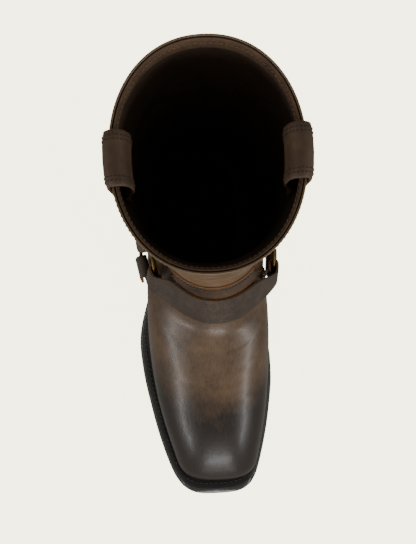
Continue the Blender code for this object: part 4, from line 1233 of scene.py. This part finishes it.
@dataclass
class Counter:
    """The heel piece laid over the upper's back."""

    front: float = 0.101
    foot: float = 0.3 * MM
    thickness: float = 1.9 * MM
    skived: float = 1.2 * MM
    heel_shift: float = -0.0015
    columns: int = 161
    rows: int = 44
    half_round: float = 0.128
    height: float = 0.05
    skive_width: float = 5.0 * MM
    foot_crowding: float = 1.35
    seam_shares: tuple[float, float] = (0.055, 0.10)
    seam_end: float = 0.975
    seam_lift: float = 0.97

    def __post_init__(self) -> None:
        """Make the surface on which the counter is laid."""
        grid, _ = LAST.grid(Upper().sections(160, 0.0), np.linspace(-1, 1, 161))
        grid = LAST.over_welt(grid)
        faces = grid_faces(*grid.shape[:2])
        self.tree = BVHTree.FromPolygons([tuple(p) for p in grid.reshape(-1, 3)], faces)

    def column(self, place: float, shares: np.ndarray) -> tuple[np.ndarray, np.ndarray]:
        """Points of the body up one upright line and their ways out.

        Args:
            place: Way round the heel, -1 at the lateral front edge to 1 at the medial one.
            shares: Shares of the counter's height.

        Returns:
            Points and ways out.
        """
        heel_end = LAST.heel_round * LAST.sole_length
        quarter = heel_end * np.pi / 2
        total = quarter + self.front - heel_end
        distance = abs(place) * total
        side = 1 if place >= 0 else -1
        if distance < quarter:
            turn = distance / quarter * np.pi / 2
            centre, way = heel_end, np.array([-np.cos(turn), side * np.sin(turn), 0.0])
        else:
            centre, way = heel_end + distance - quarter, np.array([0.0, side, 0.0])
        top = float(read_table(COUNTER_EDGES, 1, abs(place))[0])
        foot_x = centre + way[0] * (heel_end - LAST.heel_margin)
        foot = float(LAST.rim(np.array([foot_x]))[0]) + self.foot
        # Each point is looked for from 200 mm outside, so that it lies on the upper's face.
        points = []
        for share in shares:
            z = foot + (top * LAST.instep_height - foot) * share
            start = Vector((centre, self.heel_shift, z)) + Vector(way) * 0.2
            spot = self.tree.ray_cast(start, Vector(-way))[0]
            points.append(np.array(spot) if spot else points[-1])
        return np.array(points), np.broadcast_to(way, (len(shares), 3))

    def lift(self, places: np.ndarray, shares: np.ndarray) -> np.ndarray:
        """Thickness on a grid, thinner along the skived edges.

        Args:
            places: Ways round the heel.
            shares: Shares of the counter's height.

        Returns:
            Thickness in metres.
        """
        side = (1 - np.abs(places))[:, None] * self.half_round
        top = (1 - shares)[None, :] * self.height
        full = rise(0, self.skive_width, np.minimum(side, top))
        return self.skived + (self.thickness - self.skived) * full

    def build(self) -> None:
        """Make the counter and its two rows of stitches."""
        places = np.linspace(-1, 1, self.columns)
        shares = np.linspace(0, 1, self.rows) ** self.foot_crowding
        made = [self.column(p, shares) for p in places]
        points = np.stack([m[0] for m in made])
        ways = np.stack([m[1] for m in made])
        outer = points + ways * self.lift(places, shares)[..., None]
        inner = points + ways * CLEARANCE
        tone = np.tile(-0.10 - 0.18 * rise(0.45, 0.0, shares), (self.columns, 1))
        leather_sheet("counter_leather", outer, inner, BODY_LEATHER, RAW_EDGE,
                      ["counter"], tone, 0.1)
        rows = []
        for inset in self.seam_shares:
            path, out = [], []
            for place in np.linspace(-self.seam_end, self.seam_end, 201):
                spots, way = self.column(place, np.array([1 - inset]))
                path.append(spots[0] + way[0] * self.thickness * self.seam_lift)
                out.append(way[0])
            rows.append((np.array(path), np.array(out)))
        OVERLAY_THREAD.sew("counter_stitches", rows)


@dataclass
class PullStraps:
    """The two folded pull loops over the collar."""

    width: float = 0.032
    thickness: float = 0.0025
    rise_up: float = 0.014
    reach: float = 0.018
    drop: float = 0.045
    centre_x: float = 0.069
    wall: float = 0.0022
    gap: float = 0.0003
    facing_room: float = 0.0006
    columns: int = 25
    stations: int = 90
    sewn_stations: int = 78
    wall_step: int = 3
    seam_places: tuple[float, ...] = (-0.41, -0.335, 0.335, 0.41)

    def profile(self) -> tuple[np.ndarray, np.ndarray]:
        """Run of the strap over the rim, seen along the shaft's wall.

        Returns:
            Its middle line and the directions to its outer face, both as out and up.
        """
        half = self.thickness / 2
        outside = self.gap + half
        inside = -(self.wall + self.gap + self.facing_room + half)
        path = [(outside, -self.drop), (outside, -self.drop * 0.6)]
        for out, up in PULL_ARCH:
            path.append((outside - out * self.reach, up * (self.rise_up if up > 0 else self.drop)))
        path += [(inside, -self.drop), (inside, -self.drop * 1.2)]
        points = np.array(path)
        knots = run_length(points)
        curve = spline(knots, points, np.linspace(0, knots[-1], self.stations))
        curve[0], curve[-1] = points[0], points[-1]
        way = np.gradient(curve, axis=0)
        return curve, unit(np.stack([way[:, 1], -way[:, 0]], axis=1))

    def wall_y(self, side: Side, x: np.ndarray, z: np.ndarray) -> np.ndarray:
        """Side position of the shaft's outer face, from its four nearest points.

        Args:
            side: Side of the foot.
            x: Places along the foot as a grid.
            z: Heights as a grid.

        Returns:
            Y positions as a grid.
        """
        arounds = np.sort(np.linspace(0.2, 0.9, 90) * side.value)
        flat = LAST.grid(np.linspace(0, 2, 60), arounds)[0].reshape(-1, 3)
        result = np.zeros_like(x)
        for i in np.ndindex(x.shape):
            far = (flat[:, 0] - x[i]) ** 2 + (flat[:, 2] - z[i]) ** 2
            near = np.argpartition(far, 4)[:4]
            weight = 1 / (far[near] + 1e-9)
            result[i] = (flat[near, 1] * weight).sum() / weight.sum()
        return result

    def build(self) -> None:
        """Make both straps with their four rows of stitches each."""
        curve, ways = self.profile()
        across = np.linspace(-0.5, 0.5, self.columns)
        coarse = np.linspace(-0.5, 0.5, 5)
        at = np.arange(self.stations)
        x = np.broadcast_to(self.centre_x + self.width * across, (self.stations, self.columns))
        z = LAST.shaft_height + np.minimum(curve[::self.wall_step, 1], -0.0005)
        grid_x, grid_z = np.meshgrid(self.centre_x + self.width * coarse, z)
        # The strap is a third thinner along its two long edges.
        soft = 1 - 0.35 * rise(0.40, 0.5, np.abs(across))
        for side in Side:
            known = self.wall_y(side, grid_x, grid_z)
            by_row = np.stack([np.interp(across, coarse, row) for row in known])
            wall = np.stack([np.interp(at, at[::self.wall_step], line) for line in by_row.T], 1)
            grids = []
            for sign in (1, -1):
                half = sign * self.thickness / 2 * soft[None, :]
                y = wall + side.value * (curve[:, :1] + half * ways[:, :1])
                up = LAST.shaft_height + (curve[:, 1:] + half * ways[:, 1:])
                grids.append(np.stack([x, y, up], axis=-1))
            name = f"pull_strap_{side.word}"
            leather_sheet(f"{name}_leather", grids[0], grids[1], PULL_LEATHER,
                          None, [name], bulge=0.3)
            rows = []
            level = np.stack([np.zeros(self.stations), side.value * ways[:, 0], ways[:, 1]], 1)
            for share in self.seam_places:
                line = grids[0][:, int(round((share + 0.5) * (self.columns - 1)))].copy()
                line[:, 0] = self.centre_x + self.width * share
                rows.append((line[:self.sewn_stations], level[:self.sewn_stations]))
            PULL_THREAD.sew(f"{name}_stitches", rows)


@dataclass
class Harness:
    """Instep, heel and arch straps with their rings."""

    thickness_mm: float = 2.4
    strap_bevel_mm: float = 0.45
    ring_bevel_mm: float = 0.3
    straps: tuple[str, ...] = ("instep_strap", "heel_strap", "arch_strap_lateral",
                               "arch_strap_medial")

    def build(self) -> None:
        """Dress the straps and the rings."""
        for node in self.straps:
            soft_copy(node, f"{node}_leather", STRAP_LEATHER,
                      self.strap_bevel_mm, 3, RAW_EDGE, self.thickness_mm)
        for side in Side:
            ring = f"ring_{side.word}"
            soft_copy(ring, f"{ring}_brass", BRASS, self.ring_bevel_mm, 2)


@dataclass
class Bottom:
    """Heel, sole and welt."""

    welt_top: float = 0.0098
    heel_inset: float = 0.0058
    outline_heel_inset: float = 0.0032
    toe_inset: float = 0.0095
    toe_power: float = 3.65
    margin_places: tuple[float, ...] = (0, 0.38, 0.62, 1)
    margins: tuple[float, ...] = (.0032, .0036, .0062, .0066)

    def build(self) -> None:
        """Dress the bottom and sew the welt."""
        soft_copy("outsole", "outsole_leather", EDGE_BLACK_PAINTED_SHEEN, 0.35, 1)
        soft_copy("welt", "welt_leather", WELT_BLACK, 0.3, 1)
        soft_copy("heel_stack", "heel_stack_leather", HEEL_BLACK, 0.3, 1)
        soft_copy("heel_cap", "heel_cap_rubber", CAP_RUBBER, 0.3, 1)
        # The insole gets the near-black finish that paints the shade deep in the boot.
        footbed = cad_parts["insole"].data.materials
        footbed.clear()
        footbed.append(FINISHES.get(FOOTBED_PAINTED_SHADE))
        self.sew()

    def sew(self) -> None:
        """Sew one row all round the welt."""
        turn = np.linspace(0, np.pi / 2, 24)
        length = LAST.sole_length
        heel_end = LAST.heel_round * length
        toe_start = length * (1 - LAST.toe_round)
        heel = heel_end - (heel_end - self.heel_inset) * np.cos(turn) ** (2 / LAST.heel_power)
        toe = toe_start + (length - self.toe_inset - toe_start) * np.sin(turn) ** (
            2 / self.toe_power)
        xs = np.concatenate([heel, np.linspace(heel_end, toe_start, 90)[1:-1], toe])
        margin = np.interp(xs / length, self.margin_places, self.margins)
        rows = []
        for side in Side:
            y = LAST.outline(xs, side, margin, self.outline_heel_inset, self.toe_inset)
            z = LAST.sole_bottom(xs) + self.welt_top
            rows.append((np.stack([xs, y, z], 1), np.tile([0.0, 0.0, 1.0], (len(xs), 1))))
        WELT_THREAD.sew("welt_stitches", rows)


@dataclass(frozen=True)
class Studio:
    """Pale floor, soft lights and the camera of the photograph."""

    camera_place: tuple[float, float, float] = (0.1450, 0.0039, 0.9556)
    elevation: float = 1.48113
    yaw: float = -0.04382
    roll: float = -0.0017
    lens: float = 71.82
    sensor: float = 36.0
    floor_colour: str = "f2efd2"
    floor_reach: float = 6.0
    floor_glow: float = 5.2
    air_colour: str = "ebe6dc"
    air_strength: float = 0.43
    lit_place: tuple[float, float, float] = (0.10, 0.0, 0.05)

    def camera(self) -> None:
        """Place the camera where the photograph was taken from."""
        e, yaw = self.elevation, self.yaw
        look = np.array([-math.cos(e) * math.cos(yaw), -math.cos(e) * math.sin(yaw), -math.sin(e)])
        up = np.array([-math.sin(e) * math.cos(yaw), -math.sin(e) * math.sin(yaw), math.cos(e)])
        right = np.cross(look, up)
        turned_right = math.cos(self.roll) * right + math.sin(self.roll) * up
        turned_up = -math.sin(self.roll) * right + math.cos(self.roll) * up
        data = bpy.data.cameras.new("photo_camera")
        data.lens = self.lens
        data.sensor_width = self.sensor
        data.clip_start, data.clip_end = 0.01, 20.0
        item = place_object("photo_camera", data)
        columns = (turned_right, turned_up, -look, self.camera_place)
        rows = [[float(column[i]) for column in columns] for i in range(3)]
        item.matrix_world = Matrix(rows + [[0, 0, 0, 1]])
        bpy.context.scene.camera = item

    def floor(self) -> None:
        """Lay the pale floor, which glows in the picture and throws no light on the boot."""
        mesh = bpy.data.meshes.new("studio_floor")
        size = self.floor_reach
        mesh.from_pydata([(-size, -size, 0), (size, -size, 0), (size, size, 0), (-size, size, 0)],
                         [], [(0, 1, 2, 3)])
        colour = linear(self.floor_colour)
        mesh.materials.append(new_material("matt_white_paper", {
            "Base Color": colour, "Roughness": 1.0, "Specular IOR Level": 0.0,
            "Emission Color": colour, "Emission Strength": self.floor_glow})[0])
        item = place_object("studio_floor", mesh)
        item.visible_diffuse = False
        item.visible_glossy = False

    def light(self, name: str, place: Sequence[float], size: tuple[float, float],
              power: float) -> None:
        """Hang one soft light that faces the boot.

        Args:
            name: Light name.
            place: Position in metres.
            size: Width and height in metres.
            power: Watts.
        """
        data = bpy.data.lights.new(name, "AREA")
        data.shape = "RECTANGLE"
        data.size, data.size_y = size
        data.energy = power
        item = place_object(name, data)
        item.location = place
        way = Vector(place) - Vector(self.lit_place)
        item.rotation_euler = way.to_track_quat("Z", "Y").to_euler()

    def build(self) -> None:
        """Make camera, floor, lights and the pale surroundings."""
        self.camera()
        self.floor()
        self.light("left_softbox", (0.80, -1.2, 0.62), (0.9, 0.10), 6)
        self.light("right_softbox", (0.75, 1.2, 0.68), (1.0, 0.10), 7)
        self.light("toe_softbox", (1.3, 0.0, 0.5), (0.6, 0.25), 5)
        self.light("toe_strip", (1.3, 0.0, 0.06), (0.8, 0.04), 0.6)
        world = bpy.data.worlds.new("pale_studio")
        world.use_nodes = True
        air = world.node_tree.nodes["Background"]
        air.inputs["Color"].default_value = linear(self.air_colour)
        air.inputs["Strength"].default_value = self.air_strength
        bpy.context.scene.world = world


def main() -> None:
    """Build the boot, dress it and set up the studio."""
    logging.basicConfig(level=logging.INFO, format="%(message)s")
    for maker in (Studio(), Upper(), Vamp(), Counter(), PullStraps(), Harness(), Bottom()):
        LOG.info("building %s", type(maker).__name__)
        maker.build()


if __name__ == "__main__":
    main()
